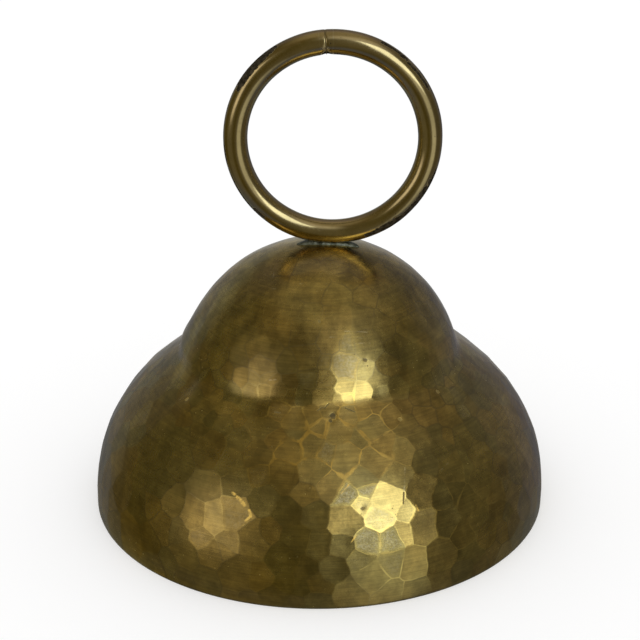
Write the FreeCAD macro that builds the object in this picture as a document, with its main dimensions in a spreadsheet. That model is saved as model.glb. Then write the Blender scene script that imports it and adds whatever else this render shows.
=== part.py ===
import FreeCAD, Part
import Sketcher
import math
import os

# Hand bell of hammered brass sheet with a round ring handle.
#
# The frame is in millimetres with +Z up. The origin is the centre of the mouth, on the
# plane of the rim that the bell stands on. The ring handle lies in the XZ plane.
#
# A sheet of brass is raised into two domes: a wide flared lower dome that ends in an
# upright lip, and a smaller spherical crown above it, with a tight concave neck where the
# crown rises out of the lower dome's shoulder. A brass
# rod bent into a ring is butted and brazed at the top and soldered on edge to the crown.
# A wire staple is brazed inside the crown; a link hangs on it, and the clapper hangs on
# the link by the eye at the top of its rod.

doc = FreeCAD.newDocument("TempleBell")

# ---------------------------------------------------------------- driving dimensions
DIMS = [
    ("mouth_radius", 100.0, "outer radius of the mouth at the rim"),
    ("wall", 1.8, "thickness of the hammered sheet"),
    ("lip_height", 3.9, "upright lip above the rim"),
    ("flare_radius", 69.9, "outer radius of the lower dome's section"),
    ("flare_end_radius", 77.8, "bell's radius where the lower dome meets its shoulder"),
    ("shoulder_radius", 177.5, "outer radius of the shoulder's section, nearly a cone"),
    ("neck_radius", 8.0, "radius of the concave neck's section"),
    ("crown_radius", 61.7, "outer radius of the crown"),
    ("crown_centre_z", 55.1, "height of the crown's centre"),
    ("rim_round", 0.4, "rounding of the rim's two edges"),
    ("ring_radius", 40.25, "ring centre line"),
    ("ring_rod_radius", 5.1, "radius of the rod the ring is bent from"),
    ("ring_offset_x", 6.2, "the ring stands a little to one side of the bell's axis"),
    ("ring_centre_z", 162.1, "height of the ring's centre"),
    ("ring_gap_angle", 0.6, "gap between the rod's two ends"),
    ("ring_seam_angle", 94.0, "where the ends meet, from +X towards +Z"),
    ("braze_angle", 0.55, "filler between the rod's ends"),
    ("braze_radius", 4.9, "radius of the filler, a little under flush"),
    ("seat_half_length", 15.0, "solder saddle, along the ring"),
    ("seat_half_width", 4.6, "solder saddle, across the ring"),
    ("seat_half_height", 2.5, "solder saddle, height above the crown"),
    ("seat_offset_x", 3.6, "centre of the solder saddle"),
    ("joint_clear", 0.02, "gap kept between two faces that meet"),
    ("staple_wire_radius", 1.75, "staple wire"),
    ("staple_half_span", 6.5, "half the distance between the staple's legs"),
    ("staple_bar_z", 97.0, "height of the staple's lowest point, on its centre line"),
    ("staple_top_z", 114.3, "height of the staple's feet"),
    ("puddle_radius", 4.8, "braze puddle round each foot"),
    ("puddle_depth", 2.6, "how far each puddle reaches down the leg"),
    ("link_wire_radius", 1.5, "link wire"),
    ("link_bend_radius", 5.5, "link's end bends, on the centre line"),
    ("link_straight", 8.0, "link's straight sides"),
    ("link_gap", 0.4, "gap where the bent link closes"),
    ("hang_clear", 0.15, "running gap where one loop hangs on another"),
    ("rod_radius", 1.75, "clapper rod"),
    ("eye_radius", 5.25, "eye at the top of the rod, on the centre line"),
    ("eye_bend_radius", 3.5, "bend that leads the rod into its eye"),
    ("eye_end_angle", 240.0, "where the eye's wire ends"),
    ("ball_radius", 14.0, "clapper ball"),
    ("ball_centre_z", 21.0, "height of the ball's centre at rest"),
    ("ball_flat_radius", 3.2, "small flats turned at the ball's poles"),
    ("bore_clear", 0.05, "radial gap between the rod and what is threaded on it"),
    ("collar_radius", 2.8, "upset collar on the rod above the ball"),
    ("collar_height", 1.6, "height of the collar"),
    ("washer_radius", 4.4, "washer under the ball"),
    ("washer_thick", 0.8, "washer thickness"),
    ("head_radius", 3.2, "peened head at the rod's lower end"),
    ("head_height", 1.6, "height of the peened head"),
]

dims = doc.addObject("Spreadsheet::Sheet", "Dims")
for row, (name, value, note) in enumerate(DIMS, 1):
    dims.set("A%d" % row, name.replace("_", " "))
    dims.set("B%d" % row, repr(value))
    dims.set("C%d" % row, note)
    dims.setAlias("B%d" % row, name)
doc.recompute()


def val(name):
    return float(dims.get(name))


# ---------------------------------------------------------------- small helpers
V = FreeCAD.Vector
UP = V(0, 0, 1)


def plane(body, role):
    return [f for f in body.Origin.OriginFeatures if f.Role == role][0]


def new_body(name):
    body = doc.addObject("PartDesign::Body", name)
    body.Label = name
    return body


def new_sketch(body, name, role, offset=None):
    sketch = body.newObject("Sketcher::SketchObject", name)
    sketch.AttachmentSupport = [(plane(body, role), "")]
    sketch.MapMode = "FlatFace"
    if offset is not None:
        sketch.AttachmentOffset = FreeCAD.Placement(V(0, 0, offset), FreeCAD.Rotation())
    return sketch


def line(sketch, a, b):
    return sketch.addGeometry(Part.LineSegment(V(a[0], a[1], 0), V(b[0], b[1], 0)), False)


def arc(sketch, centre, radius, start, end):
    circle = Part.Circle(V(centre[0], centre[1], 0), UP, radius)
    return sketch.addGeometry(Part.ArcOfCircle(circle, start, end), False)


def circle(sketch, centre, radius):
    return sketch.addGeometry(Part.Circle(V(centre[0], centre[1], 0), UP, radius), False)


def join(sketch, g1, p1, g2, p2):
    sketch.addConstraint(Sketcher.Constraint("Coincident", g1, p1, g2, p2))


def smooth(sketch, g1, p1, g2, p2):
    sketch.addConstraint(Sketcher.Constraint("Tangent", g1, p1, g2, p2))


def drive(sketch, constraint, name, expression):
    index = sketch.addConstraint(constraint)
    sketch.renameConstraint(index, name)
    sketch.setExpression("Constraints." + name, expression)
    return index


def rings(shape, radius, z):
    """Names of the circular edges of this radius, level, at this height."""
    found = []
    for index, edge in enumerate(shape.Edges, 1):
        if len(edge.Vertexes) == 0 or edge.Length < 1e-3:
            continue
        far = max(abs(math.hypot(p.x, p.y) - radius) + abs(p.z - z) for p in edge.discretize(9))
        if far < 1e-3:
            found.append("Edge%d" % index)
    return found


def revolve(body, name, sketch, angle=None):
    feature = body.newObject("PartDesign::Revolution", name)
    feature.Profile = sketch
    feature.ReferenceAxis = (sketch, ["V_Axis"])
    feature.Angle = 360.0
    if angle is not None:
        feature.setExpression("Angle", angle)
    return feature


def pipe(body, name, profile, path, edges):
    feature = body.newObject("PartDesign::AdditivePipe", name)
    feature.Profile = profile
    feature.Spine = (path, ["Edge%d" % (i + 1) for i in range(edges)])
    return feature


# ---------------------------------------------------------------- bell shell
# Section of the sheet: an upright lip, the lower dome's arc, the flatter shoulder, the
# tight concave neck, and the crown's arc up to the axis, then the same arcs again one
# wall thickness further in.
R, T, LIP = val("mouth_radius"), val("wall"), val("lip_height")
RF, RS, RN = val("flare_radius"), val("shoulder_radius"), val("neck_radius")
RC, ZC, RE = val("crown_radius"), val("crown_centre_z"), val("flare_end_radius")

flare_c = (R - RF, LIP)
crown_c = (0.0, ZC)
flare_end = math.acos((RE - flare_c[0]) / RF)
shoulder_c = (flare_c[0] - (RS - RF) * math.cos(flare_end), flare_c[1] - (RS - RF) * math.sin(flare_end))
# The neck's centre is a shoulder radius plus a neck radius from the shoulder's centre,
# and a crown radius plus a neck radius from the crown's.
span = math.hypot(shoulder_c[0] - crown_c[0], shoulder_c[1] - crown_c[1])
ex = ((shoulder_c[0] - crown_c[0]) / span, (shoulder_c[1] - crown_c[1]) / span)
along = ((RC + RN) ** 2 - (RS + RN) ** 2 + span ** 2) / (2 * span)
across = math.sqrt((RC + RN) ** 2 - along ** 2)
neck_c = max((crown_c[0] + ex[0] * along - side * ex[1] * across,
              crown_c[1] + ex[1] * along + side * ex[0] * across) for side in (-1, 1))
shoulder_end = math.atan2(neck_c[1] - shoulder_c[1], neck_c[0] - shoulder_c[0])
crown_start = math.atan2(neck_c[1] - crown_c[1], neck_c[0] - crown_c[0])

shell = new_body("bell_shell")
section = new_sketch(shell, "ShellSection", "XZ_Plane")
rim = line(section, (R - T, 0), (R, 0))
lip_out = line(section, (R, 0), (R, LIP))
flare_out = arc(section, flare_c, RF, 0, flare_end)
shoulder_out = arc(section, shoulder_c, RS, flare_end, shoulder_end)
neck_out = arc(section, neck_c, RN, crown_start + math.pi, shoulder_end + math.pi)
crown_out = arc(section, crown_c, RC, crown_start, math.pi / 2)
axis_line = line(section, (0, ZC + RC), (0, ZC + RC - T))
crown_in = arc(section, crown_c, RC - T, crown_start, math.pi / 2)
neck_in = arc(section, neck_c, RN + T, crown_start + math.pi, shoulder_end + math.pi)
shoulder_in = arc(section, shoulder_c, RS - T, flare_end, shoulder_end)
flare_in = arc(section, flare_c, RF - T, 0, flare_end)
lip_in = line(section, (R - T, LIP), (R - T, 0))
join(section, rim, 2, lip_out, 1)
smooth(section, lip_out, 2, flare_out, 1)
smooth(section, flare_out, 2, shoulder_out, 1)
smooth(section, shoulder_out, 2, neck_out, 2)
smooth(section, neck_out, 1, crown_out, 1)
join(section, crown_out, 2, axis_line, 1)
join(section, axis_line, 2, crown_in, 2)
smooth(section, crown_in, 1, neck_in, 1)
smooth(section, neck_in, 2, shoulder_in, 2)
smooth(section, shoulder_in, 1, flare_in, 2)
smooth(section, flare_in, 1, lip_in, 1)
join(section, lip_in, 2, rim, 1)
for inner, outer in ((flare_in, flare_out), (shoulder_in, shoulder_out), (neck_in, neck_out), (crown_in, crown_out)):
    join(section, inner, 3, outer, 3)
section.addConstraint(Sketcher.Constraint("PointOnObject", rim, 1, -1))
section.addConstraint(Sketcher.Constraint("Horizontal", rim))
section.addConstraint(Sketcher.Constraint("Vertical", lip_out))
section.addConstraint(Sketcher.Constraint("PointOnObject", crown_out, 3, -2))
section.addConstraint(Sketcher.Constraint("PointOnObject", crown_out, 2, -2))
section.addConstraint(Sketcher.Constraint("PointOnObject", crown_in, 2, -2))
drive(section, Sketcher.Constraint("DistanceX", -1, 1, rim, 2, R), "mouth", "Dims.mouth_radius")
drive(section, Sketcher.Constraint("DistanceX", rim, 1, rim, 2, T), "sheet", "Dims.wall")
drive(section, Sketcher.Constraint("DistanceY", lip_out, 1, lip_out, 2, LIP), "lip", "Dims.lip_height")
drive(section, Sketcher.Constraint("Radius", flare_out, RF), "flare", "Dims.flare_radius")
drive(section, Sketcher.Constraint("DistanceX", -1, 1, flare_out, 2, RE), "flare_end", "Dims.flare_end_radius")
drive(section, Sketcher.Constraint("Radius", shoulder_out, RS), "shoulder", "Dims.shoulder_radius")
drive(section, Sketcher.Constraint("Radius", neck_out, RN), "neck", "Dims.neck_radius")
drive(section, Sketcher.Constraint("Radius", crown_out, RC), "crown", "Dims.crown_radius")
drive(section, Sketcher.Constraint("DistanceY", -1, 1, crown_out, 3, ZC), "crown_height", "Dims.crown_centre_z")
raised = revolve(shell, "RaisedShell", section)
doc.recompute()

# The rim's two edges are rounded over, which leaves a flat ring for the bell to stand on.
rounded = shell.newObject("PartDesign::Fillet", "RimRound")
rounded.Base = (raised, rings(raised.Shape, R, 0) + rings(raised.Shape, R - T, 0))
rounded.setExpression("Radius", "Dims.rim_round")
doc.recompute()

# ---------------------------------------------------------------- ring handle
# A rod bent round into a ring. Its two ends almost meet near the top.
ring = new_body("ring_handle")
rod_end = new_sketch(ring, "RingRodSection", "XY_Plane")
g = circle(rod_end, (val("ring_radius"), 0), val("ring_rod_radius"))
rod_end.addConstraint(Sketcher.Constraint("PointOnObject", g, 3, -1))
drive(rod_end, Sketcher.Constraint("DistanceX", -1, 1, g, 3, val("ring_radius")), "ring", "Dims.ring_radius")
drive(rod_end, Sketcher.Constraint("Radius", g, val("ring_rod_radius")), "rod", "Dims.ring_rod_radius")
revolve(ring, "BentRod", rod_end, "360 - Dims.ring_gap_angle")
ring_turn = -val("ring_seam_angle") + val("ring_gap_angle") / 2
ring.Placement = FreeCAD.Placement(
    V(val("ring_offset_x"), 0, val("ring_centre_z")), FreeCAD.Rotation(V(0, 1, 0), ring_turn))
ring.setExpression(".Placement.Base.x", "Dims.ring_offset_x")
ring.setExpression(".Placement.Base.z", "Dims.ring_centre_z")

# Filler that closes the butt joint, a little below the rod's surface.
braze = new_body("ring_joint_braze")
braze_section = new_sketch(braze, "BrazeSection", "XY_Plane")
g = circle(braze_section, (val("ring_radius"), 0), val("braze_radius"))
braze_section.addConstraint(Sketcher.Constraint("PointOnObject", g, 3, -1))
drive(braze_section, Sketcher.Constraint("DistanceX", -1, 1, g, 3, val("ring_radius")), "ring", "Dims.ring_radius")
drive(braze_section, Sketcher.Constraint("Radius", g, val("braze_radius")), "bead", "Dims.braze_radius")
revolve(braze, "Filler", braze_section, "Dims.braze_angle")
braze_turn = -val("ring_seam_angle") - val("braze_angle") / 2
braze.Placement = FreeCAD.Placement(
    V(val("ring_offset_x"), 0, val("ring_centre_z")), FreeCAD.Rotation(V(0, 1, 0), braze_turn))
braze.setExpression(".Placement.Base.x", "Dims.ring_offset_x")
braze.setExpression(".Placement.Base.z", "Dims.ring_centre_z")
doc.recompute()

# ---------------------------------------------------------------- solder seat under the ring
# A saddle of solder fills the space between the crown and the underside of the ring. It
# is an ellipsoid with the crown and the ring cut out of it.
seat_x = val("seat_offset_x")
seat_z = ZC + math.sqrt(RC ** 2 - seat_x ** 2)
bead = doc.addObject("Part::Ellipsoid", "SeatBead")
bead.setExpression("Radius1", "Dims.seat_half_height")
bead.setExpression("Radius2", "Dims.seat_half_length")
bead.setExpression("Radius3", "Dims.seat_half_width")
bead.Placement = FreeCAD.Placement(V(seat_x, 0, seat_z), FreeCAD.Rotation())
under_ring = doc.addObject("Part::Torus", "SeatRingCut")
under_ring.setExpression("Radius1", "Dims.ring_radius")
under_ring.setExpression("Radius2", "Dims.ring_rod_radius + Dims.joint_clear")
under_ring.Placement = FreeCAD.Placement(
    V(val("ring_offset_x"), 0, val("ring_centre_z")), FreeCAD.Rotation(V(1, 0, 0), 90))
over_crown = doc.addObject("Part::Sphere", "SeatCrownCut")
over_crown.setExpression("Radius", "Dims.crown_radius + Dims.joint_clear")
over_crown.Placement = FreeCAD.Placement(V(0, 0, ZC), FreeCAD.Rotation())
bead_off_ring = doc.addObject("Part::Cut", "SeatOffRing")
bead_off_ring.Base = bead
bead_off_ring.Tool = under_ring
seat = doc.addObject("Part::Cut", "ring_seat_solder")
seat.Label = "ring_seat_solder"
seat.Base = bead_off_ring
seat.Tool = over_crown
doc.recompute()

# ---------------------------------------------------------------- clapper staple
# A U of wire in the XZ plane, feet up against the inside of the crown.
SW, SS, SB, ST = val("staple_wire_radius"), val("staple_half_span"), val("staple_bar_z"), val("staple_top_z")
staple = new_body("clapper_staple")
u_path = new_sketch(staple, "StaplePath", "XZ_Plane")
leg_l = line(u_path, (-SS, ST), (-SS, SB + SS))
bend = arc(u_path, (0, SB + SS), SS, math.pi, 2 * math.pi)
leg_r = line(u_path, (SS, SB + SS), (SS, ST))
smooth(u_path, leg_l, 2, bend, 1)
smooth(u_path, bend, 2, leg_r, 1)
u_path.addConstraint(Sketcher.Constraint("Vertical", leg_l))
u_path.addConstraint(Sketcher.Constraint("Vertical", leg_r))
u_path.addConstraint(Sketcher.Constraint("PointOnObject", bend, 3, -2))
drive(u_path, Sketcher.Constraint("Radius", bend, SS), "half_span", "Dims.staple_half_span")
drive(u_path, Sketcher.Constraint("DistanceY", -1, 1, bend, 3, SB + SS), "bend_height",
      "Dims.staple_bar_z + Dims.staple_half_span")
drive(u_path, Sketcher.Constraint("DistanceY", -1, 1, leg_l, 1, ST), "left_foot", "Dims.staple_top_z")
drive(u_path, Sketcher.Constraint("DistanceY", -1, 1, leg_r, 2, ST), "right_foot", "Dims.staple_top_z")
u_section = new_sketch(staple, "StapleWire", "XY_Plane", ST)
u_section.setExpression(".AttachmentOffset.Base.z", "Dims.staple_top_z")
g = circle(u_section, (-SS, 0), SW)
u_section.addConstraint(Sketcher.Constraint("PointOnObject", g, 3, -1))
drive(u_section, Sketcher.Constraint("DistanceX", g, 3, -1, 1, SS), "leg", "Dims.staple_half_span")
drive(u_section, Sketcher.Constraint("Radius", g, SW), "wire", "Dims.staple_wire_radius")
pipe(staple, "BentStaple", u_section, u_path, 3)
doc.recompute()

# One puddle of braze holds each foot to the crown. Each is a flattened ball, kept to the
# space under the crown's inner face, with the leg cut out of it.
for side, sign in (("left", -1), ("right", 1)):
    foot_z = ZC + math.sqrt((RC - T) ** 2 - SS ** 2)
    ball = doc.addObject("Part::Ellipsoid", "Puddle_" + side)
    ball.setExpression("Radius1", "Dims.puddle_depth")
    ball.setExpression("Radius2", "Dims.puddle_radius")
    ball.setExpression("Radius3", "Dims.puddle_radius")
    ball.Placement = FreeCAD.Placement(V(sign * SS, 0, foot_z), FreeCAD.Rotation())
    under = doc.addObject("Part::Sphere", "UnderCrown_" + side)
    under.setExpression("Radius", "Dims.crown_radius - Dims.wall - Dims.joint_clear")
    under.Placement = FreeCAD.Placement(V(0, 0, ZC), FreeCAD.Rotation())
    kept = doc.addObject("Part::MultiCommon", "PuddleUnder_" + side)
    kept.Shapes = [ball, under]
    leg = doc.addObject("Part::Cylinder", "LegCut_" + side)
    leg.setExpression("Radius", "Dims.staple_wire_radius + Dims.joint_clear")
    leg.Height = 12.0
    leg.Placement = FreeCAD.Placement(
        V(sign * SS, 0, ST + val("joint_clear") - 12.0), FreeCAD.Rotation())
    puddle = doc.addObject("Part::Cut", "staple_solder_" + side)
    puddle.Label = "staple_solder_" + side
    puddle.Base = kept
    puddle.Tool = leg
doc.recompute()

# ---------------------------------------------------------------- clapper link
# A bent wire link in the YZ plane, hanging on the staple. It is closed except for the
# hairline gap halfway up one side.
LW, LB, LS, GAP, HC = (val("link_wire_radius"), val("link_bend_radius"), val("link_straight"),
                       val("link_gap"), val("hang_clear"))
link_top = SB + SW + HC + LW                  # centre line at the link's highest point
link_c_up = link_top - LB
link_c_low = link_c_up - LS
link_bar_z = link_c_low - LB                  # centre line at the link's lowest point
link_mid = (link_c_up + link_c_low) / 2

link = new_body("clapper_link")
l_path = new_sketch(link, "LinkPath", "YZ_Plane")
s1 = line(l_path, (LB, link_mid + GAP / 2), (LB, link_c_up))
b1 = arc(l_path, (0, link_c_up), LB, 0, math.pi)
s2 = line(l_path, (-LB, link_c_up), (-LB, link_c_low))
b2 = arc(l_path, (0, link_c_low), LB, math.pi, 2 * math.pi)
s3 = line(l_path, (LB, link_c_low), (LB, link_mid - GAP / 2))
smooth(l_path, s1, 2, b1, 1)
smooth(l_path, b1, 2, s2, 1)
smooth(l_path, s2, 2, b2, 1)
smooth(l_path, b2, 2, s3, 1)
for g in (s1, s2, s3):
    l_path.addConstraint(Sketcher.Constraint("Vertical", g))
l_path.addConstraint(Sketcher.Constraint("PointOnObject", b1, 3, -2))
drive(l_path, Sketcher.Constraint("Radius", b1, LB), "bend", "Dims.link_bend_radius")
drive(l_path, Sketcher.Constraint("DistanceY", b2, 3, b1, 3, LS), "straight", "Dims.link_straight")
top_expr = "Dims.staple_bar_z + Dims.staple_wire_radius + Dims.hang_clear + Dims.link_wire_radius"
drive(l_path, Sketcher.Constraint("DistanceY", -1, 1, b1, 3, link_c_up), "upper_bend",
      top_expr + " - Dims.link_bend_radius")
start_expr = (top_expr + " - Dims.link_bend_radius - Dims.link_straight / 2 + Dims.link_gap / 2")
drive(l_path, Sketcher.Constraint("DistanceY", -1, 1, s1, 1, link_mid + GAP / 2), "wire_start", start_expr)
drive(l_path, Sketcher.Constraint("DistanceY", s3, 2, s1, 1, GAP), "gap", "Dims.link_gap")
l_section = new_sketch(link, "LinkWire", "XY_Plane", link_mid + GAP / 2)
l_section.setExpression(".AttachmentOffset.Base.z", start_expr)
g = circle(l_section, (0, LB), LW)
l_section.addConstraint(Sketcher.Constraint("PointOnObject", g, 3, -2))
drive(l_section, Sketcher.Constraint("DistanceY", -1, 1, g, 3, LB), "side", "Dims.link_bend_radius")
drive(l_section, Sketcher.Constraint("Radius", g, LW), "wire", "Dims.link_wire_radius")
pipe(link, "BentLink", l_section, l_path, 5)
doc.recompute()

# ---------------------------------------------------------------- clapper
# Stations down the clapper: the eye hangs on the link's lowest point, the collar sits on
# the ball, and the washer and the peened head are below it.
RR, ER, EB = val("rod_radius"), val("eye_radius"), val("eye_bend_radius")
eye_z = link_bar_z + LW + HC + RR - ER        # centre of the eye
BR, BZ, BF = val("ball_radius"), val("ball_centre_z"), val("ball_flat_radius")
pole = math.sqrt(BR ** 2 - BF ** 2)
JC = val("joint_clear")
washer_top = BZ - pole - JC
head_top = washer_top - val("washer_thick") - JC
collar_low = BZ + pole + JC

# Rod: straight up from the head, a small bend to one side, then round into the eye.
rise = math.sqrt((EB + ER) ** 2 - EB ** 2)    # from the bend's centre up to the eye's
turn = math.atan2(-rise, EB)                  # where the bend meets the eye
rod = new_body("clapper_rod")
r_path = new_sketch(rod, "RodPath", "XZ_Plane")
shank = line(r_path, (0, head_top), (0, eye_z - rise))
kink = arc(r_path, (EB, eye_z - rise), EB, turn + math.pi, math.pi)
eye = arc(r_path, (0, eye_z), ER, turn, math.radians(val("eye_end_angle")))
smooth(r_path, shank, 2, kink, 2)
smooth(r_path, kink, 1, eye, 1)
r_path.addConstraint(Sketcher.Constraint("PointOnObject", shank, 1, -2))
r_path.addConstraint(Sketcher.Constraint("Vertical", shank))
r_path.addConstraint(Sketcher.Constraint("PointOnObject", eye, 3, -2))
drive(r_path, Sketcher.Constraint("Radius", kink, EB), "kink", "Dims.eye_bend_radius")
drive(r_path, Sketcher.Constraint("Radius", eye, ER), "eye", "Dims.eye_radius")
drive(r_path, Sketcher.Constraint("DistanceY", -1, 1, eye, 3, eye_z), "eye_height",
      top_expr + " - 2 * Dims.link_bend_radius - Dims.link_straight + Dims.link_wire_radius"
      " + Dims.hang_clear + Dims.rod_radius - Dims.eye_radius")
head_expr = ("Dims.ball_centre_z - sqrt(Dims.ball_radius ^ 2 - Dims.ball_flat_radius ^ 2)"
             " - 2 * Dims.joint_clear - Dims.washer_thick")
drive(r_path, Sketcher.Constraint("DistanceY", -1, 1, shank, 1, head_top), "foot", head_expr)
r_section = new_sketch(rod, "RodWire", "XY_Plane", head_top)
r_section.setExpression(".AttachmentOffset.Base.z", head_expr)
g = circle(r_section, (0, 0), RR)
join(r_section, g, 3, -1, 1)
drive(r_section, Sketcher.Constraint("Radius", g, RR), "wire", "Dims.rod_radius")
pipe(rod, "BentRodWithEye", r_section, r_path, 3)
doc.recompute()

# Peened head: a low dome turned over the rod's end under the washer.
HR, HH = val("head_radius"), val("head_height")
dome = (HR ** 2 + HH ** 2) / (2 * HH)
h_section = new_sketch(rod, "HeadSection", "XZ_Plane")
top_edge = line(h_section, (0, head_top), (HR, head_top))
axis_edge = line(h_section, (0, head_top - HH), (0, head_top))
dome_edge = arc(h_section, (0, head_top - HH + dome), dome, -math.pi / 2,
                math.atan2(HH - dome, HR))
join(h_section, axis_edge, 2, top_edge, 1)
join(h_section, top_edge, 2, dome_edge, 2)
join(h_section, dome_edge, 1, axis_edge, 1)
h_section.addConstraint(Sketcher.Constraint("Horizontal", top_edge))
h_section.addConstraint(Sketcher.Constraint("Vertical", axis_edge))
h_section.addConstraint(Sketcher.Constraint("PointOnObject", top_edge, 1, -2))
h_section.addConstraint(Sketcher.Constraint("PointOnObject", dome_edge, 3, -2))
drive(h_section, Sketcher.Constraint("DistanceX", top_edge, 1, top_edge, 2, HR), "head_wide", "Dims.head_radius")
drive(h_section, Sketcher.Constraint("DistanceY", axis_edge, 1, axis_edge, 2, HH), "head_tall", "Dims.head_height")
drive(h_section, Sketcher.Constraint("DistanceY", -1, 1, top_edge, 1, head_top), "head_top", head_expr)
revolve(rod, "PeenedHead", h_section)

# Upset collar that rests on the ball's upper flat.
CR, CH = val("collar_radius"), val("collar_height")
c_section = new_sketch(rod, "CollarSection", "XZ_Plane")
low = line(c_section, (0, collar_low), (CR, collar_low))
side_edge = line(c_section, (CR, collar_low), (CR, collar_low + CH))
high = line(c_section, (CR, collar_low + CH), (0, collar_low + CH))
inner = line(c_section, (0, collar_low + CH), (0, collar_low))
for a, b in ((low, side_edge), (side_edge, high), (high, inner), (inner, low)):
    join(c_section, a, 2, b, 1)
c_section.addConstraint(Sketcher.Constraint("Horizontal", low))
c_section.addConstraint(Sketcher.Constraint("Horizontal", high))
c_section.addConstraint(Sketcher.Constraint("Vertical", side_edge))
c_section.addConstraint(Sketcher.Constraint("PointOnObject", low, 1, -2))
c_section.addConstraint(Sketcher.Constraint("PointOnObject", high, 2, -2))
drive(c_section, Sketcher.Constraint("DistanceX", low, 1, low, 2, CR), "collar_wide", "Dims.collar_radius")
drive(c_section, Sketcher.Constraint("DistanceY", side_edge, 1, side_edge, 2, CH), "collar_tall", "Dims.collar_height")
drive(c_section, Sketcher.Constraint("DistanceY", -1, 1, low, 1, collar_low), "collar_low",
      "Dims.ball_centre_z + sqrt(Dims.ball_radius ^ 2 - Dims.ball_flat_radius ^ 2) + Dims.joint_clear")
revolve(rod, "Collar", c_section)
doc.recompute()
collar = rod.Tip
collar_round = rod.newObject("PartDesign::Fillet", "CollarRound")
collar_round.Base = (collar, rings(collar.Shape, CR, collar_low + CH))
collar_round.Radius = 0.6
doc.recompute()

# Ball, turned from solid with a hole through it and a small flat at each pole.
hole = RR + val("bore_clear")
ball_body = new_body("clapper_ball")
b_section = new_sketch(ball_body, "BallSection", "XZ_Plane")
half = math.asin(pole / BR)
face = arc(b_section, (0, BZ), BR, -half, half)
top_flat = line(b_section, (BF, BZ + pole), (hole, BZ + pole))
bore = line(b_section, (hole, BZ + pole), (hole, BZ - pole))
low_flat = line(b_section, (hole, BZ - pole), (BF, BZ - pole))
join(b_section, face, 2, top_flat, 1)
join(b_section, top_flat, 2, bore, 1)
join(b_section, bore, 2, low_flat, 1)
join(b_section, low_flat, 2, face, 1)
b_section.addConstraint(Sketcher.Constraint("Horizontal", top_flat))
b_section.addConstraint(Sketcher.Constraint("Horizontal", low_flat))
b_section.addConstraint(Sketcher.Constraint("Vertical", bore))
b_section.addConstraint(Sketcher.Constraint("PointOnObject", face, 3, -2))
drive(b_section, Sketcher.Constraint("Radius", face, BR), "ball", "Dims.ball_radius")
drive(b_section, Sketcher.Constraint("DistanceY", -1, 1, face, 3, BZ), "ball_height", "Dims.ball_centre_z")
drive(b_section, Sketcher.Constraint("DistanceX", -1, 1, top_flat, 1, BF), "flat", "Dims.ball_flat_radius")
drive(b_section, Sketcher.Constraint("DistanceX", -1, 1, bore, 1, hole), "bore", "Dims.rod_radius + Dims.bore_clear")
revolve(ball_body, "TurnedBall", b_section)

# Washer between the ball and the peened head.
washer = new_body("clapper_washer")
w_section = new_sketch(washer, "WasherOutline", "XY_Plane", washer_top - val("washer_thick"))
w_section.setExpression(
    ".AttachmentOffset.Base.z",
    "Dims.ball_centre_z - sqrt(Dims.ball_radius ^ 2 - Dims.ball_flat_radius ^ 2)"
    " - Dims.joint_clear - Dims.washer_thick")
for radius, name, expression in (
        (val("washer_radius"), "outside", "Dims.washer_radius"),
        (hole, "inside", "Dims.rod_radius + Dims.bore_clear")):
    g = circle(w_section, (0, 0), radius)
    join(w_section, g, 3, -1, 1)
    drive(w_section, Sketcher.Constraint("Radius", g, radius), name, expression)
blank = washer.newObject("PartDesign::Pad", "WasherBlank")
blank.Profile = w_section
blank.setExpression("Length", "Dims.washer_thick")
doc.recompute()

# ---------------------------------------------------------------- check and export
PIECES = [shell, ring, braze, seat, staple,
          doc.getObject("staple_solder_left"), doc.getObject("staple_solder_right"),
          link, rod, ball_body, washer]

for obj in doc.Objects:
    if "Invalid" in obj.State or "Error" in obj.State:
        raise RuntimeError("%s failed: %s" % (obj.Name, obj.State))
for piece in PIECES:
    shape = piece.Shape
    if shape.isNull() or not shape.isValid():
        raise RuntimeError("%s has no valid shape" % piece.Label)
    if len(shape.Solids) != 1:
        raise RuntimeError("%s holds %d solids" % (piece.Label, len(shape.Solids)))

os.makedirs("parts", exist_ok=True)
for piece in PIECES:
    piece.Shape.exportStep("parts/%s.step" % piece.Label)
    box = piece.Shape.BoundBox
    print("%-20s volume %9.1f  x %7.2f %7.2f  y %7.2f %7.2f  z %7.2f %7.2f" % (
        piece.Label, piece.Shape.Volume, box.XMin, box.XMax, box.YMin, box.YMax, box.ZMin, box.ZMax))
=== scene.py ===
# Temple bell of hammered brass: the looks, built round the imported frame.
import bpy
import math
import numpy as np
from mathutils import Vector, Matrix


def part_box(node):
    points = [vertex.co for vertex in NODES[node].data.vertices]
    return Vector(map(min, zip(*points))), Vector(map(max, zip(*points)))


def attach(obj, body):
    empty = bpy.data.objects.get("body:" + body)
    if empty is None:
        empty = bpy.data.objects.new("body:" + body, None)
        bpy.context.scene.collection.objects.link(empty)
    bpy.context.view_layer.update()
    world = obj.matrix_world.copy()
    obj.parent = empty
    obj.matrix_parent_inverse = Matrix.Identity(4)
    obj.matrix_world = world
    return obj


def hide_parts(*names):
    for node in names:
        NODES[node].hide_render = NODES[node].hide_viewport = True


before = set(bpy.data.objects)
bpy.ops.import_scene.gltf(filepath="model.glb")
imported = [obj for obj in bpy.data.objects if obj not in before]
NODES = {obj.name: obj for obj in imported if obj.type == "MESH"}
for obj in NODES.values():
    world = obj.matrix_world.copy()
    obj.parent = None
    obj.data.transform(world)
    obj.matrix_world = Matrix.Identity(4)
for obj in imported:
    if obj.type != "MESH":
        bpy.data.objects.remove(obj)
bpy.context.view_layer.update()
MM = 0.001
rng = np.random.default_rng(20260)

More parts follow.
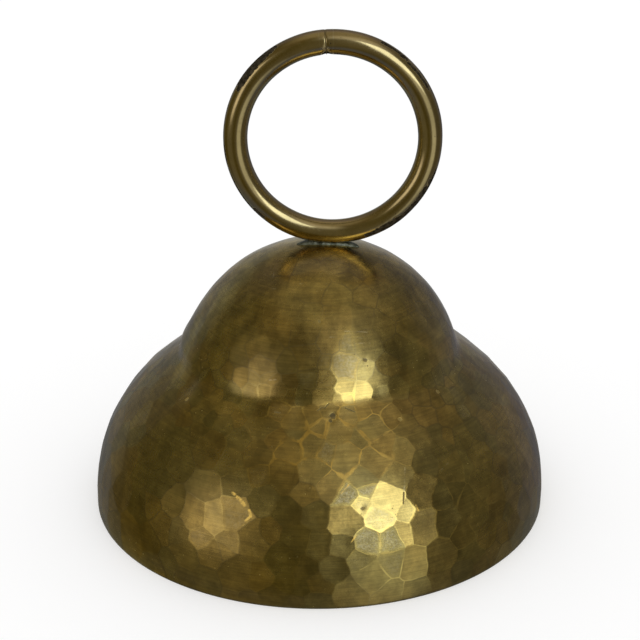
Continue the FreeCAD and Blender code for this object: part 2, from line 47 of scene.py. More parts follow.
# ------------------------------------------------------------------ sizes taken from the frame
shell_lo, shell_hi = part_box("bell_shell")
ring_lo, ring_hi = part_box("ring_handle")
R0 = shell_hi.x / MM                    # mouth radius, mm
TOP = shell_hi.z / MM                   # crown's top
RING_ROD = (ring_hi.y - ring_lo.y) / 2 / MM
RING_X = (ring_hi.x + ring_lo.x) / 2 / MM
RING_MAJOR = (ring_hi.x - ring_lo.x) / 2 / MM - RING_ROD
RING_Z = ring_hi.z / MM - RING_MAJOR - RING_ROD
SEAM = math.radians(94.0)

# The shell's section, as in the CAD: lip, flare arc, flatter shoulder, tight neck, crown arc.
WALL, LIP, RFL, RFE, RSH, RNK, RCR = 1.8, 3.9, 69.9, 77.8, 177.5, 8.0, 61.7
ZCR = TOP - RCR
LEAN = 0.0120                           # the hand-raised crown stands this much off true, mm per mm


def section(step):
    """Outer section from the lip up to the apex as points a step apart: r, z, outward normal (nr, nz)."""
    c1 = np.array([R0 - RFL, LIP])
    a1 = math.acos((RFE - c1[0]) / RFL)
    cs = c1 - (RSH - RFL) * np.array([math.cos(a1), math.sin(a1)])
    c2 = np.array([0.0, ZCR])
    d = np.linalg.norm(cs - c2)
    ex = (cs - c2) / d
    t = ((RCR + RNK) ** 2 - (RSH + RNK) ** 2 + d * d) / (2 * d)
    h = math.sqrt((RCR + RNK) ** 2 - t * t)
    c3 = max((tuple(c2 + t * ex + k * h * np.array([-ex[1], ex[0]])) for k in (-1, 1)))
    a2 = math.atan2(c3[1] - cs[1], c3[0] - cs[0])
    a3 = math.atan2(c3[1] - c2[1], c3[0] - c2[0])
    path = []                                    # closely spaced, then resampled

    def arc(c, r, a, b, sign):
        for k in np.linspace(a, b, max(3, int(abs(b - a) * r / 0.05))):
            path.append((c[0] + r * math.cos(k), c[1] + r * math.sin(k), sign * math.cos(k), sign * math.sin(k)))
    for z in np.arange(0.4, LIP, 0.05):
        path.append((R0, z, 1.0, 0.0))
    arc(c1, RFL, 0.0, a1, 1)
    arc(cs, RSH, a1, a2, 1)
    arc(c3, RNK, a2 + math.pi, a3 + math.pi, -1)
    arc(c2, RCR, a3, math.pi / 2 - 0.4 * step / RCR, 1)
    path = np.array(path)
    run = np.concatenate([[0], np.cumsum(np.hypot(np.diff(path[:, 0]), np.diff(path[:, 1])))])
    want = np.linspace(0, run[-1], int(round(run[-1] / step)) + 1)
    out = np.stack([np.interp(want, run, path[:, k]) for k in range(4)], 1)
    out[:, 2:] /= np.hypot(out[:, 2], out[:, 3])[:, None]
    return out


# ------------------------------------------------------------------ smooth seeded noise, for mesh work
def make_noise(seed, n=32):
    r = np.random.default_rng(seed)
    grid = r.random((n, n, n)).astype(np.float64) * 2 - 1

    def noise(p, scale, octaves=1):
        total = np.zeros(len(p))
        amp, norm = 1.0, 0.0
        q = p / scale
        for _ in range(octaves):
            i = np.floor(q).astype(int)
            f = q - i
            f = f * f * (3 - 2 * f)
            acc = 0
            for dx in (0, 1):
                for dy in (0, 1):
                    for dz in (0, 1):
                        w = ((f[:, 0] if dx else 1 - f[:, 0]) * (f[:, 1] if dy else 1 - f[:, 1])
                             * (f[:, 2] if dz else 1 - f[:, 2]))
                        acc = acc + w * grid[(i[:, 0] + dx) % n, (i[:, 1] + dy) % n, (i[:, 2] + dz) % n]
            total += amp * acc
            norm += amp
            amp *= 0.5
            q = q * 2.03 + 17.3
        return total / norm
    return noise


noise_a = make_noise(11)
noise_b = make_noise(23)
noise_c = make_noise(37)


def smoothstep(a, b, x):
    t = np.clip((x - a) / (b - a), 0, 1)
    return t * t * (3 - 2 * t)


# ------------------------------------------------------------------ mesh helpers
def new_mesh(name, verts_mm, faces, attrs=None, smooth=True):
    me = bpy.data.meshes.new(name)
    me.from_pydata([tuple(v) for v in (np.asarray(verts_mm) * MM)], [], [tuple(int(i) for i in f) for f in faces])
    me.update()
    for key, values in (attrs or {}).items():
        values = np.asarray(values, dtype=np.float32)
        if values.ndim == 2:
            layer = me.attributes.new(key, "FLOAT_VECTOR", "POINT")
            layer.data.foreach_set("vector", values.ravel())
        else:
            layer = me.attributes.new(key, "FLOAT", "POINT")
            layer.data.foreach_set("value", values)
    if smooth:
        me.polygons.foreach_set("use_smooth", np.ones(len(me.polygons), dtype=bool))
    ob = bpy.data.objects.new(name, me)
    bpy.context.scene.collection.objects.link(ob)
    return ob


def zipper(ra, aa, rb, ab):
    """Triangles between two closed rings of vertices with ids ra, rb at angles aa, ab (both rising, below a full turn).
    Ring b lies further along; the triangles face outwards when both rings turn anticlockwise and b is above a."""
    tris = []
    na, nb = len(ra), len(rb)
    A = np.append(aa, aa[0] + 2 * math.pi)
    j0 = int(np.argmin(np.abs((ab - aa[0] + math.pi) % (2 * math.pi) - math.pi)))
    order = [(j0 + k) % nb for k in range(nb + 1)]
    B = [ab[order[0]]]
    for k in range(1, nb + 1):
        v = ab[order[k]]
        while v < B[-1] - 1e-12:
            v += 2 * math.pi
        B.append(v)
    shift = round((A[0] - B[0]) / (2 * math.pi)) * 2 * math.pi
    B = [b + shift for b in B]
    i = j = 0
    while i < na or j < nb:
        if j >= nb or (i < na and A[i + 1] <= B[j + 1]):
            tris.append((ra[i], ra[(i + 1) % na], rb[order[j]]))
            i += 1
        else:
            tris.append((ra[i % na], rb[order[j + 1]], rb[order[j]]))
            j += 1
    return tris


# ------------------------------------------------------------------ hammer blows
# Blows that stand out: place, half width of the flat they leave, how hollow (1 = dead flat, more = hollow),
# patina from dark to rubbed bright, granular oxide, and hue from brown to green.
BLOWS = [(10.9, -86.9, 43.8, 3.9, 0.9, 0.55, 0.90, 0.60), (18.3, -84.7, 45.1, 3.6, 0.9, 0.50, 0.80, 0.60), (27.3, -85.3, 41.0, 6.1, 0.8, 0.98, 0.00, 0.30),
         (23.7, -89.5, 35.4, 5.0, 1.0, 0.92, 0.35, 0.40), (16.3, -88.9, 39.5, 3.6, 0.9, 0.85, 0.25, 0.30), (11.2, -92.0, 35.1, 5.9, 0.9, 0.62, 0.00, 0.10),
         (34.4, -85.8, 35.8, 4.1, 1.1, 0.95, 0.00, 0.20), (33.6, -89.4, 29.0, 4.1, 1.1, 0.55, 0.00, 0.10), (18.9, -94.4, 26.7, 5.2, 1.2, 0.45, 0.70, 0.40),
         (28.0, -92.3, 26.2, 4.9, 1.2, 0.45, 0.70, 0.80), (28.8, -94.4, 17.6, 5.5, 1.1, 0.50, 0.30, 0.80), (37.2, -91.8, 15.8, 6.1, 1.0, 0.50, 0.00, 0.20),
         (16.2, -96.7, 20.4, 4.9, 1.0, 0.50, 0.15, 0.90), (20.6, -97.4, 12.2, 6.8, 0.8, 0.45, 0.00, 0.50), (41.2, -85.7, 29.9, 6.4, 0.9, 0.45, 0.10, 0.00),
         (40.2, -80.3, 40.7, 5.9, 0.9, 0.40, 0.00, 0.10), (16.8, -82.2, 48.6, 4.8, 0.8, 0.40, 0.10, 0.70), (30.6, -80.1, 46.5, 4.5, 0.8, 0.35, 0.00, 0.60),
         (9.2, -95.8, 26.7, 4.4, 1.0, 0.30, 0.00, 0.50), (5.7, -98.6, 17.1, 5.3, 1.3, 0.30, 0.00, 0.90), (13.1, -99.1, 6.9, 6.1, 0.8, 0.35, 0.00, 0.40),
         (27.0, -96.3, 4.1, 6.4, 0.8, 0.45, 0.00, 0.50), (38.3, -92.4, 1.9, 6.7, 0.8, 0.40, 0.00, 0.30), (49.1, -77.5, 37.3, 4.8, 1.5, 0.35, 0.00, 0.80),
         (50.7, -81.2, 28.5, 5.8, 1.3, 0.30, 0.00, 0.70), (48.3, -86.5, 15.7, 6.9, 1.0, 0.35, 0.00, 0.30), (-11.3, -90.2, 38.2, 4.7, 1.3, 0.30, 0.00, 0.90),
         (-2.4, -91.2, 37.8, 4.7, 1.4, 0.30, 0.00, 0.90), (-8.2, -95.1, 28.6, 5.2, 1.1, 0.30, 0.00, 0.90), (-0.5, -96.1, 26.9, 4.8, 1.2, 0.30, 0.00, 0.90),
         (-14.1, -96.9, 20.7, 5.7, 1.0, 0.30, 0.00, 0.80), (-33.3, -86.1, 35.4, 6.6, 0.8, 0.80, 0.35, 0.20), (-41.8, -83.7, 32.7, 5.5, 0.9, 0.78, 0.10, 0.30),
         (-50.1, -80.0, 31.0, 6.2, 0.9, 0.50, 0.00, 0.20), (-44.8, -76.8, 41.4, 5.2, 0.9, 0.40, 0.00, 0.40), (-46.8, -85.0, 23.5, 4.9, 1.0, 0.62, 0.30, 0.30),
         (-42.7, -88.6, 18.3, 5.3, 1.0, 0.50, 0.00, 0.20), (-35.0, -90.2, 24.8, 4.2, 1.1, 0.62, 0.10, 0.30), (-37.4, -90.5, 20.4, 3.9, 1.1, 0.45, 0.00, 0.10),
         (-33.2, -93.8, 11.9, 7.1, 0.8, 0.35, 0.00, 0.30), (-44.7, -89.4, 5.4, 6.3, 1.0, 0.30, 0.00, 0.50), (-53.6, -83.3, 14.6, 5.8, 1.0, 0.35, 0.00, 0.50),
         (1.8, -53.5, 85.8, 2.8, 1.5, 0.55, 0.20, 0.40), (10.5, -53.8, 83.7, 5.6, 0.9, 0.80, 0.50, 0.30), (18.6, -53.1, 81.2, 3.3, 1.6, 0.60, 0.10, 0.70),
         (17.3, -56.7, 73.1, 3.9, 1.5, 0.90, 0.00, 0.40), (10.5, -57.2, 76.1, 3.2, 1.3, 0.85, 0.00, 0.20), (10.9, -58.7, 71.5, 2.0, 1.5, 0.95, 0.00, 0.20),
         (25.1, -54.5, 71.2, 3.8, 1.6, 0.60, 0.10, 0.80), (12.0, -63.5, 66.3, 4.0, 1.5, 0.70, 0.10, 0.50), (6.9, -59.6, 70.6, 2.2, 1.6, 0.60, 0.00, 0.00),
         (2.5, -57.0, 78.7, 3.6, 1.4, 0.50, 0.20, 0.30), (-3.4, -56.7, 79.0, 3.6, 1.4, 0.40, 0.30, 0.70), (7.6, -69.3, 62.2, 5.0, 1.0, 0.50, 0.00, 0.40),
         (-9.1, -64.9, 65.3, 4.6, 1.3, 0.60, 0.00, 0.30), (-2.7, -64.3, 66.3, 3.4, 1.4, 0.60, 0.00, 0.30), (-3.1, -73.6, 58.7, 4.5, 1.1, 0.50, 0.00, 0.40),
         (-11.8, -74.6, 57.0, 4.9, 1.1, 0.45, 0.00, 0.30), (-14.1, -81.8, 49.4, 5.6, 1.0, 0.40, 0.00, 0.40), (-2.3, -81.6, 51.1, 5.2, 1.0, 0.40, 0.00, 0.50),
         (11.0, -77.0, 55.1, 5.7, 0.8, 0.50, 0.00, 0.40), (21.2, -76.6, 53.5, 5.3, 0.8, 0.45, 0.00, 0.40), (-25.6, -50.6, 78.4, 2.6, 1.5, 0.70, 0.10, 0.50),
         (-21.1, -52.5, 78.8, 2.5, 1.5, 0.65, 0.10, 0.50), (-26.9, -52.4, 72.1, 3.5, 1.3, 0.65, 0.20, 0.50), (-21.6, -54.6, 73.2, 3.0, 1.4, 0.70, 0.00, 0.50),
         (-22.8, -49.9, 82.5, 4.2, 1.0, 0.55, 0.00, 0.40), (-18.3, -54.5, 76.7, 2.1, 1.6, 0.60, 0.00, 0.30), (60.6, -72.0, 32.7, 5.7, 1.4, 0.35, 0.00, 0.60),
         (57.0, -79.7, 21.1, 5.7, 1.3, 0.30, 0.00, 0.50), (65.6, -57.1, 45.1, 6.6, 1.0, 0.40, 0.00, 0.40)]
CLASSES = 7


def scatter_blows(sec, spacing, count=26000, seed=5):
    """The blows above and random ones between them: place, half width, hollowness, tone, grain and hue per row."""
    r = np.random.default_rng(seed)
    seg = np.hypot(np.diff(sec[:, 0]), np.diff(sec[:, 1]))
    area = np.concatenate([[0], np.cumsum(seg * (sec[:-1, 0] + sec[1:, 0]) / 2)])
    u = r.random(count) * area[-1]
    idx = np.interp(u, area, np.arange(len(sec)))
    rr = np.interp(idx, np.arange(len(sec)), sec[:, 0])
    zz = np.interp(idx, np.arange(len(sec)), sec[:, 1])
    an = r.random(count) * 2 * math.pi
    pts = np.stack([rr * np.cos(an), rr * np.sin(an), zz], 1)
    size = spacing(pts) * 0.60 * np.clip(np.exp(r.normal(0, 0.22, count)), 0.62, 1.5)
    hollow = np.clip(np.exp(r.normal(0.05, 0.28, count)), 0.6, 1.9)
    tone = 0.15 + 0.6 * r.random(count) ** 1.3
    grain = np.where(r.random(count) < 0.10, 0.5 * r.random(count), 0.0)
    hue = r.random(count)
    rest = np.column_stack([pts, size, hollow, tone, grain, hue])
    kept = np.array(BLOWS)
    kept[:, 0] -= LEAN * kept[:, 2]
    for row in rest:
        gap = np.sqrt(((kept[:, :3] - row[:3]) ** 2).sum(1))
        if np.all(gap > 0.80 * (kept[:, 3] + row[3])):
            kept = np.vstack([kept, row])
    return kept


class BlowField:
    """The surface left by the blows: at each point the deepest one wins, with a crest where two are level."""

    def __init__(self, blows, bend):
        self.c = blows[:, :3]
        self.k = bend * blows[:, 4]
        self.rho = blows[:, 3]
        self.other = blows[:, 5:8]
        from mathutils.kdtree import KDTree
        self.tree = KDTree(len(self.c))
        for i, c in enumerate(self.c):
            self.tree.insert(Vector(c), i)
        self.tree.balance()

    def at(self, points, k=12):
        near = np.zeros((len(points), k), dtype=int)
        find = self.tree.find_n
        for n, q in enumerate(points):
            near[n] = [hit[1] for hit in find(q, k)]
        d = points[:, None, :] - self.c[near]
        hgt = 0.5 * self.k[near] * ((d ** 2).sum(2) - self.rho[near] ** 2)
        order = np.argsort(hgt, axis=1)
        near = np.take_along_axis(near, order, 1)
        hgt = np.take_along_axis(hgt, order, 1)
        return near, hgt

    def slope(self, points, which, nrm):
        g = self.k[which][:, None] * (points - self.c[which])
        return g - (g * nrm).sum(1)[:, None] * nrm

    def split(self, near, hgt):
        """Numbers from 0 up for the blows, so that no two that touch share one."""
        n = len(self.c)
        touch = [set() for _ in range(n)]
        for a, b in ((0, 1), (0, 2), (1, 2)):
            use = hgt[:, 2] - hgt[:, 0] < (0.30 if b == 2 else 9.0)
            for i, j in set(zip(near[use, a].tolist(), near[use, b].tolist())):
                if i != j:
                    touch[i].add(j)
                    touch[j].add(i)
        left = {i: set(t) for i, t in enumerate(touch)}
        stack = []
        while left:
            i = min(left, key=lambda q: (len(left[q]), q))
            for j in left[i]:
                left[j].discard(i)
            del left[i]
            stack.append(i)
        group = [-1] * n
        for i in reversed(stack):
            used = {group[j] for j in touch[i]}
            free = [g for g in range(CLASSES) if g not in used]
            group[i] = free[0] if free else i % CLASSES
        return np.array(group)


def smooth_normals(verts, tris):
    f = np.asarray(tris)
    e = np.cross(verts[f[:, 1]] - verts[f[:, 0]], verts[f[:, 2]] - verts[f[:, 0]])
    out = np.zeros_like(verts)
    for k in range(3):
        np.add.at(out, f[:, k], e)
    return out / np.maximum(np.linalg.norm(out, axis=1), 1e-12)[:, None]


# Small pits and dings in the outer face: place, radius and depth, mm.
PITS = [((5.6, -64.5, 66.1), 1.5, 0.55), ((4.6, -66.2, 65.2), 1.1, 0.40), ((48.8, -42.5, 66.6), 0.9, 0.20),
        ((32.5, -60.8, 63.0), 1.0, 0.22), ((-55.0, -40.6, 62.7), 1.0, 0.22), ((16.9, -89.1, 38.9), 0.9, 0.22),
        ((0.4, -43.5, 98.8), 0.7, 0.20), ((18.7, -51.0, 85.0), 0.9, 0.20)]


def hammered_shell():
    step = 0.95
    sec = section(step)

    def spacing(p):
        z = p[:, 2]
        az = np.degrees(np.arctan2(p[:, 0], -p[:, 1]))
        s = np.interp(z, [0, 30, 50, 60, 68, 76, 84, 117], [8.6, 8.4, 9.4, 7.6, 5.6, 5.2, 8.0, 9.5])
        return s * (1 + 0.30 * smoothstep(-5, -30, az) * (z < 55))       # broader blows on the left flank
    blows = scatter_blows(sec, spacing)
    bend = np.interp(blows[:, 2], [0, 50, 60, 68, 74, 80, 117],
                     [1 / RFL, 1 / 78.0, 1 / 105.0, 1 / 85.0, 1 / 72.0, 1 / RCR, 1 / RCR])
    field = BlowField(blows, bend)

    # outer rings, lip to apex
    ids, angs, verts, nrm, ringlist = [], [], [], [], []
    count = 0
    for j, (rr, zz, nr, nz) in enumerate(sec):
        n = max(6, int(round(2 * math.pi * rr / step)))
        a = (np.arange(n) + 0.5 * (j % 2)) * 2 * math.pi / n
        verts.append(np.stack([rr * np.cos(a), rr * np.sin(a), np.full(n, zz)], 1))
        nrm.append(np.stack([nr * np.cos(a), nr * np.sin(a), np.full(n, nz)], 1))
        ringlist.append((np.arange(count, count + n), a))
        count += n
    verts = np.concatenate(verts)
    nrm = np.concatenate(nrm)

    def strayed(p):
        """The blows aren't perfectly round: they are looked up at places that stray by up to a millimetre."""
        return p + np.stack([0.95 * noise_a(p + 2.0, 5.5, 2), 0.95 * noise_b(p + 4.0, 5.5, 2),
                             0.95 * noise_c(p + 6.0, 5.5, 2)], 1)
    bent = strayed(verts)
    near, hgt = field.at(bent)
    # vertices near a crest are moved on to it, so that the crests run along mesh edges
    g1, g2 = field.slope(bent, near[:, 0], nrm), field.slope(bent, near[:, 1], nrm)
    steep = np.maximum(np.linalg.norm(g2 - g1, axis=1), 1e-4)
    dist = (hgt[:, 1] - hgt[:, 0]) / steep
    snap = (dist < 0.42 * step) & (verts[:, 2] > 2.0)
    verts[snap] -= (g2 - g1)[snap] / steep[snap, None] * dist[snap, None]
    bent = strayed(verts)
    near, hgt = field.at(bent)
    group = field.split(near, hgt)
    soft = hgt[:, 0] - np.log(np.exp(-30.0 * (hgt - hgt[:, :1])).sum(1)) / 30.0
    soft -= soft[verts[:, 2] > 3].mean()
    at_rest = verts.copy()                       # where each vertex lies on the true section

    z = verts[:, 2]
    az = np.degrees(np.arctan2(verts[:, 0], -verts[:, 1]))          # 0 towards -Y, positive towards +X

    def zone(a0, wa, z0, wz):
        d = (az - a0 + 180) % 360 - 180
        return np.exp(-(d / wa) ** 2 - ((z - z0) / wz) ** 2)
    # how strongly the blows show: worn nearly smooth in places, crisp in others
    crisp = np.clip(1.15 * zone(21, 21, 25, 22) + 0.45 * zone(6, 22, 62, 10) + 0.55 * zone(16, 16, 72, 7)
                    + 0.45 * zone(-23, 13, 72, 8) + 0.25 * zone(-26, 20, 32, 22) + 0.35 * zone(170, 80, 40, 30), 0, 1)
    gold = np.clip(1.1 * zone(0, 24, 57, 12) + 0.8 * zone(14, 10, 69, 7) + 0.5 * zone(22, 16, 34, 14), 0, 1)
    dull = np.clip(0.9 * zone(-25, 16, 80, 12) + 0.45 * zone(15, 20, 88, 10) + 0.5 * zone(-26, 18, 34, 18)
                   + 0.12 * zone(0, 200, 100, 14), 0, 1)
    patchy = noise_a(verts, 38.0, 2)
    amount = np.clip(0.42 + 0.30 * patchy, 0.18, 0.75) * (1 - 0.55 * smoothstep(78, 96, z))
    amount = amount + (1.0 - amount) * crisp
    hold = (smoothstep(-0.5, 3.5, z) * 0.9 + 0.1) * (1 - 0.85 * np.exp(-(np.hypot(verts[:, 0], verts[:, 1]) / 15.0) ** 2))
    amount = amount * hold                       # dressed flat for the ring, and firm at the rim
    disp = 0.26 * noise_b(verts, 30.0, 2) + 0.035 * noise_c(verts, 8.0, 1)
    # bigger, shallower swells over the plain flanks
    disp += 0.10 * (1 - crisp) * noise_c(verts + 31.0, 14.0, 1)
    # the crown was planished with long strokes up and down
    tall = verts * np.array([1.0, 1.0, 0.28])
    disp += 0.10 * smoothstep(74, 84, z) * noise_c(tall + 5.0, 7.5, 2)
    # the fold at the neck is softened at the front by later blows
    disp += 1.0 * zone(0, 62, 69.5, 4.6)
    disp *= hold
    # a few deep marks
    for mark, rad, deep in PITS:
        d2 = ((verts - np.array(mark) + np.array([LEAN * mark[2], 0, 0])) ** 2).sum(1)
        disp -= deep * np.exp(-d2 / rad ** 2)
    plain = verts + nrm * disp[:, None]          # the same surface without the blows, for the shading
    verts = plain + nrm * (amount * soft)[:, None]
    # on the left the crown was driven lower: the neck sits further down and the wall above it stands proud
    lean = np.interp(verts[:, 2], [54, 60, 62.6, 65.2, 67.8, 70.4, 73, 75.6, 78, 82, 88],
                     [0, -0.35, -0.6, -0.8, -0.3, 1.1, 1.7, 1.3, 0.8, 0.4, 0.0])
    side = np.exp(-(((az + 90 + 180) % 360 - 180) / 42.0) ** 2)
    flat = np.hypot(verts[:, 0], verts[:, 1])
    verts[:, :2] *= (1 + lean * side / np.maximum(flat, 1.0))[:, None]
    plain[:, :2] *= (1 + lean * side / np.maximum(flat, 1.0))[:, None]
    # and the neck wanders a little up and down as it goes round
    round_ = np.stack([60 * np.sin(np.radians(az)), -60 * np.cos(np.radians(az)), 0 * az], 1)
    away = 1 - np.exp(-((np.abs(az) - 90) / 24.0) ** 2)
    wander = (1.1 * noise_c(round_, 15.0, 2) + 0.5 * noise_b(round_, 6.0, 1)) * away
    wander = wander * smoothstep(56, 66, z) * (1 - smoothstep(72, 84, z))
    verts[:, 2] += wander
    plain[:, 2] += wander

    # for each group of blows: height, slope, tone, hue and grain of its blow nearest to each vertex
    heights, slopes, looks = [], [], []
    for g in range(CLASSES):
        mine = group[near] == g
        first = np.argmax(mine, axis=1)
        has = mine[np.arange(len(near)), first]
        who = near[np.arange(len(near)), first]
        heights.append(np.where(has, hgt[np.arange(len(near)), first], 9.0))
        slopes.append(np.where(has[:, None], field.slope(bent, who, nrm), 0.0))
        looks.append(np.column_stack([blows[who, 5], blows[who, 7], blows[who, 6]]))
    outer_n = len(verts)

    # rim: rounded outer edge, flat, rounded inner edge; then the inner face, coarser
    verts = [verts]
    first_ids, first_a = ringlist[0]
    rim_rings = []
    for rr, zz in ((R0 - 0.12, 0.12), (R0 - 0.4, 0.0), (R0 - WALL + 0.4, 0.0), (R0 - WALL + 0.12, 0.12)):
        a = first_a
        verts.append(np.stack([rr * np.cos(a), rr * np.sin(a), np.full(len(a), zz)], 1))
        rim_rings.append((np.arange(count, count + len(a)), a))
        count += len(a)
    step_in = 1.9
    seci = section(step_in)
    inner_rings = []
    for j, (rr, zz, nr, nz) in enumerate(seci):
        ri, zi = rr - nr * WALL, zz - nz * WALL
        if ri < 1.2:
            continue
        n = max(6, int(round(2 * math.pi * ri / step_in)))
        a = (np.arange(n) + 0.5 * (j % 2)) * 2 * math.pi / n
        p = np.stack([ri * np.cos(a), ri * np.sin(a), np.full(n, zi)], 1)
        nn = np.stack([nr * np.cos(a), nr * np.sin(a), np.full(n, nz)], 1)
        w = 0.30 * noise_b(p + 3.7, 13.0, 2) + 0.16 * noise_b(p, 31.0, 2)
        w *= smoothstep(0, 6, p[:, 2])
        p = p + nn * np.clip(w, -0.12, 0.25)[:, None]
        azi = np.degrees(np.arctan2(p[:, 0], -p[:, 1]))
        lean = np.interp(p[:, 2], [56, 62.6, 65.2, 69, 72, 76, 80, 86], [0, -0.2, -0.2, 0.7, 1.3, 1.0, 0.4, 0.0])
        lean = lean * np.exp(-(((azi + 90 + 180) % 360 - 180) / 42.0) ** 2)
        p[:, :2] *= (1 + lean / np.maximum(np.hypot(p[:, 0], p[:, 1]), 1.0))[:, None]
        verts.append(p)
        inner_rings.append((np.arange(count, count + n), a))
        count += n
    apex_out, apex_in = count, count + 1
    verts.append(np.array([[0, 0, TOP], [0, 0, TOP - WALL]]))
    verts = np.concatenate(verts)
    count += 2

    faces = []
    for (ia, aa), (ib, ab) in zip(ringlist[:-1], ringlist[1:]):
        faces += zipper(ia, aa, ib, ab)
    last, la = ringlist[-1]
    faces += [(last[i], last[(i + 1) % len(last)], apex_out) for i in range(len(last))]
    prev = ringlist[0]
    for ring in rim_rings + inner_rings:
        faces += [(c, b, a) for a, b, c in zipper(prev[0], prev[1], ring[0], ring[1])]
        prev = ring
    last = prev[0]
    faces += [(apex_in, last[(i + 1) % len(last)], last[i]) for i in range(len(last))]

    total = len(verts)
    pad = total - outer_n
    rest = verts[outer_n:]
    inside = np.concatenate([np.zeros(outer_n), np.ones(pad)])
    inside[outer_n:outer_n + 3 * len(first_a)] = 0.0
    inside[-2] = 0.0
    # the hand-raised shell leans very slightly to one side as it rises
    verts[:, 0] += LEAN * np.clip(verts[:, 2], 0, None)
    still = verts.copy()
    still[:outer_n] = plain
    still[:outer_n, 0] += LEAN * np.clip(plain[:, 2], 0, None)
    normals = smooth_normals(still, faces)
    real = smooth_normals(verts, faces)
    away = (np.hypot(rest[:, 0], rest[:, 1]) > 0)
    normals[outer_n:][away] = real[outer_n:][away]
    rest_at = verts.copy()
    rest_at[:outer_n] = at_rest
    rest_at[:outer_n, 0] += LEAN * np.clip(at_rest[:, 2], 0, None)
    attrs = {"inside": inside, "plain_normal": normals, "rest_at": rest_at * MM,
             "amount": np.concatenate([amount, np.zeros(pad)]),
             "crisp": np.concatenate([crisp, np.full(pad, 0.3)]),
             "gold": np.concatenate([gold, np.zeros(pad)]),
             "dull": np.concatenate([dull, np.full(pad, 0.3)])}
    plain_look = np.column_stack([0.4 + 0.25 * noise_a(rest, 9.0), 0.5 + 0.3 * noise_b(rest, 9.0), np.zeros(pad)])
    for g in range(CLASSES):
        attrs["height%d" % g] = np.concatenate([heights[g], np.full(pad, 0.0 if g == 0 else 9.0)])
        attrs["slope%d" % g] = np.concatenate([slopes[g], np.zeros((pad, 3))])
        attrs["look%d" % g] = np.concatenate([looks[g], plain_look])
    return new_mesh("shell_hammered", verts, faces, attrs)


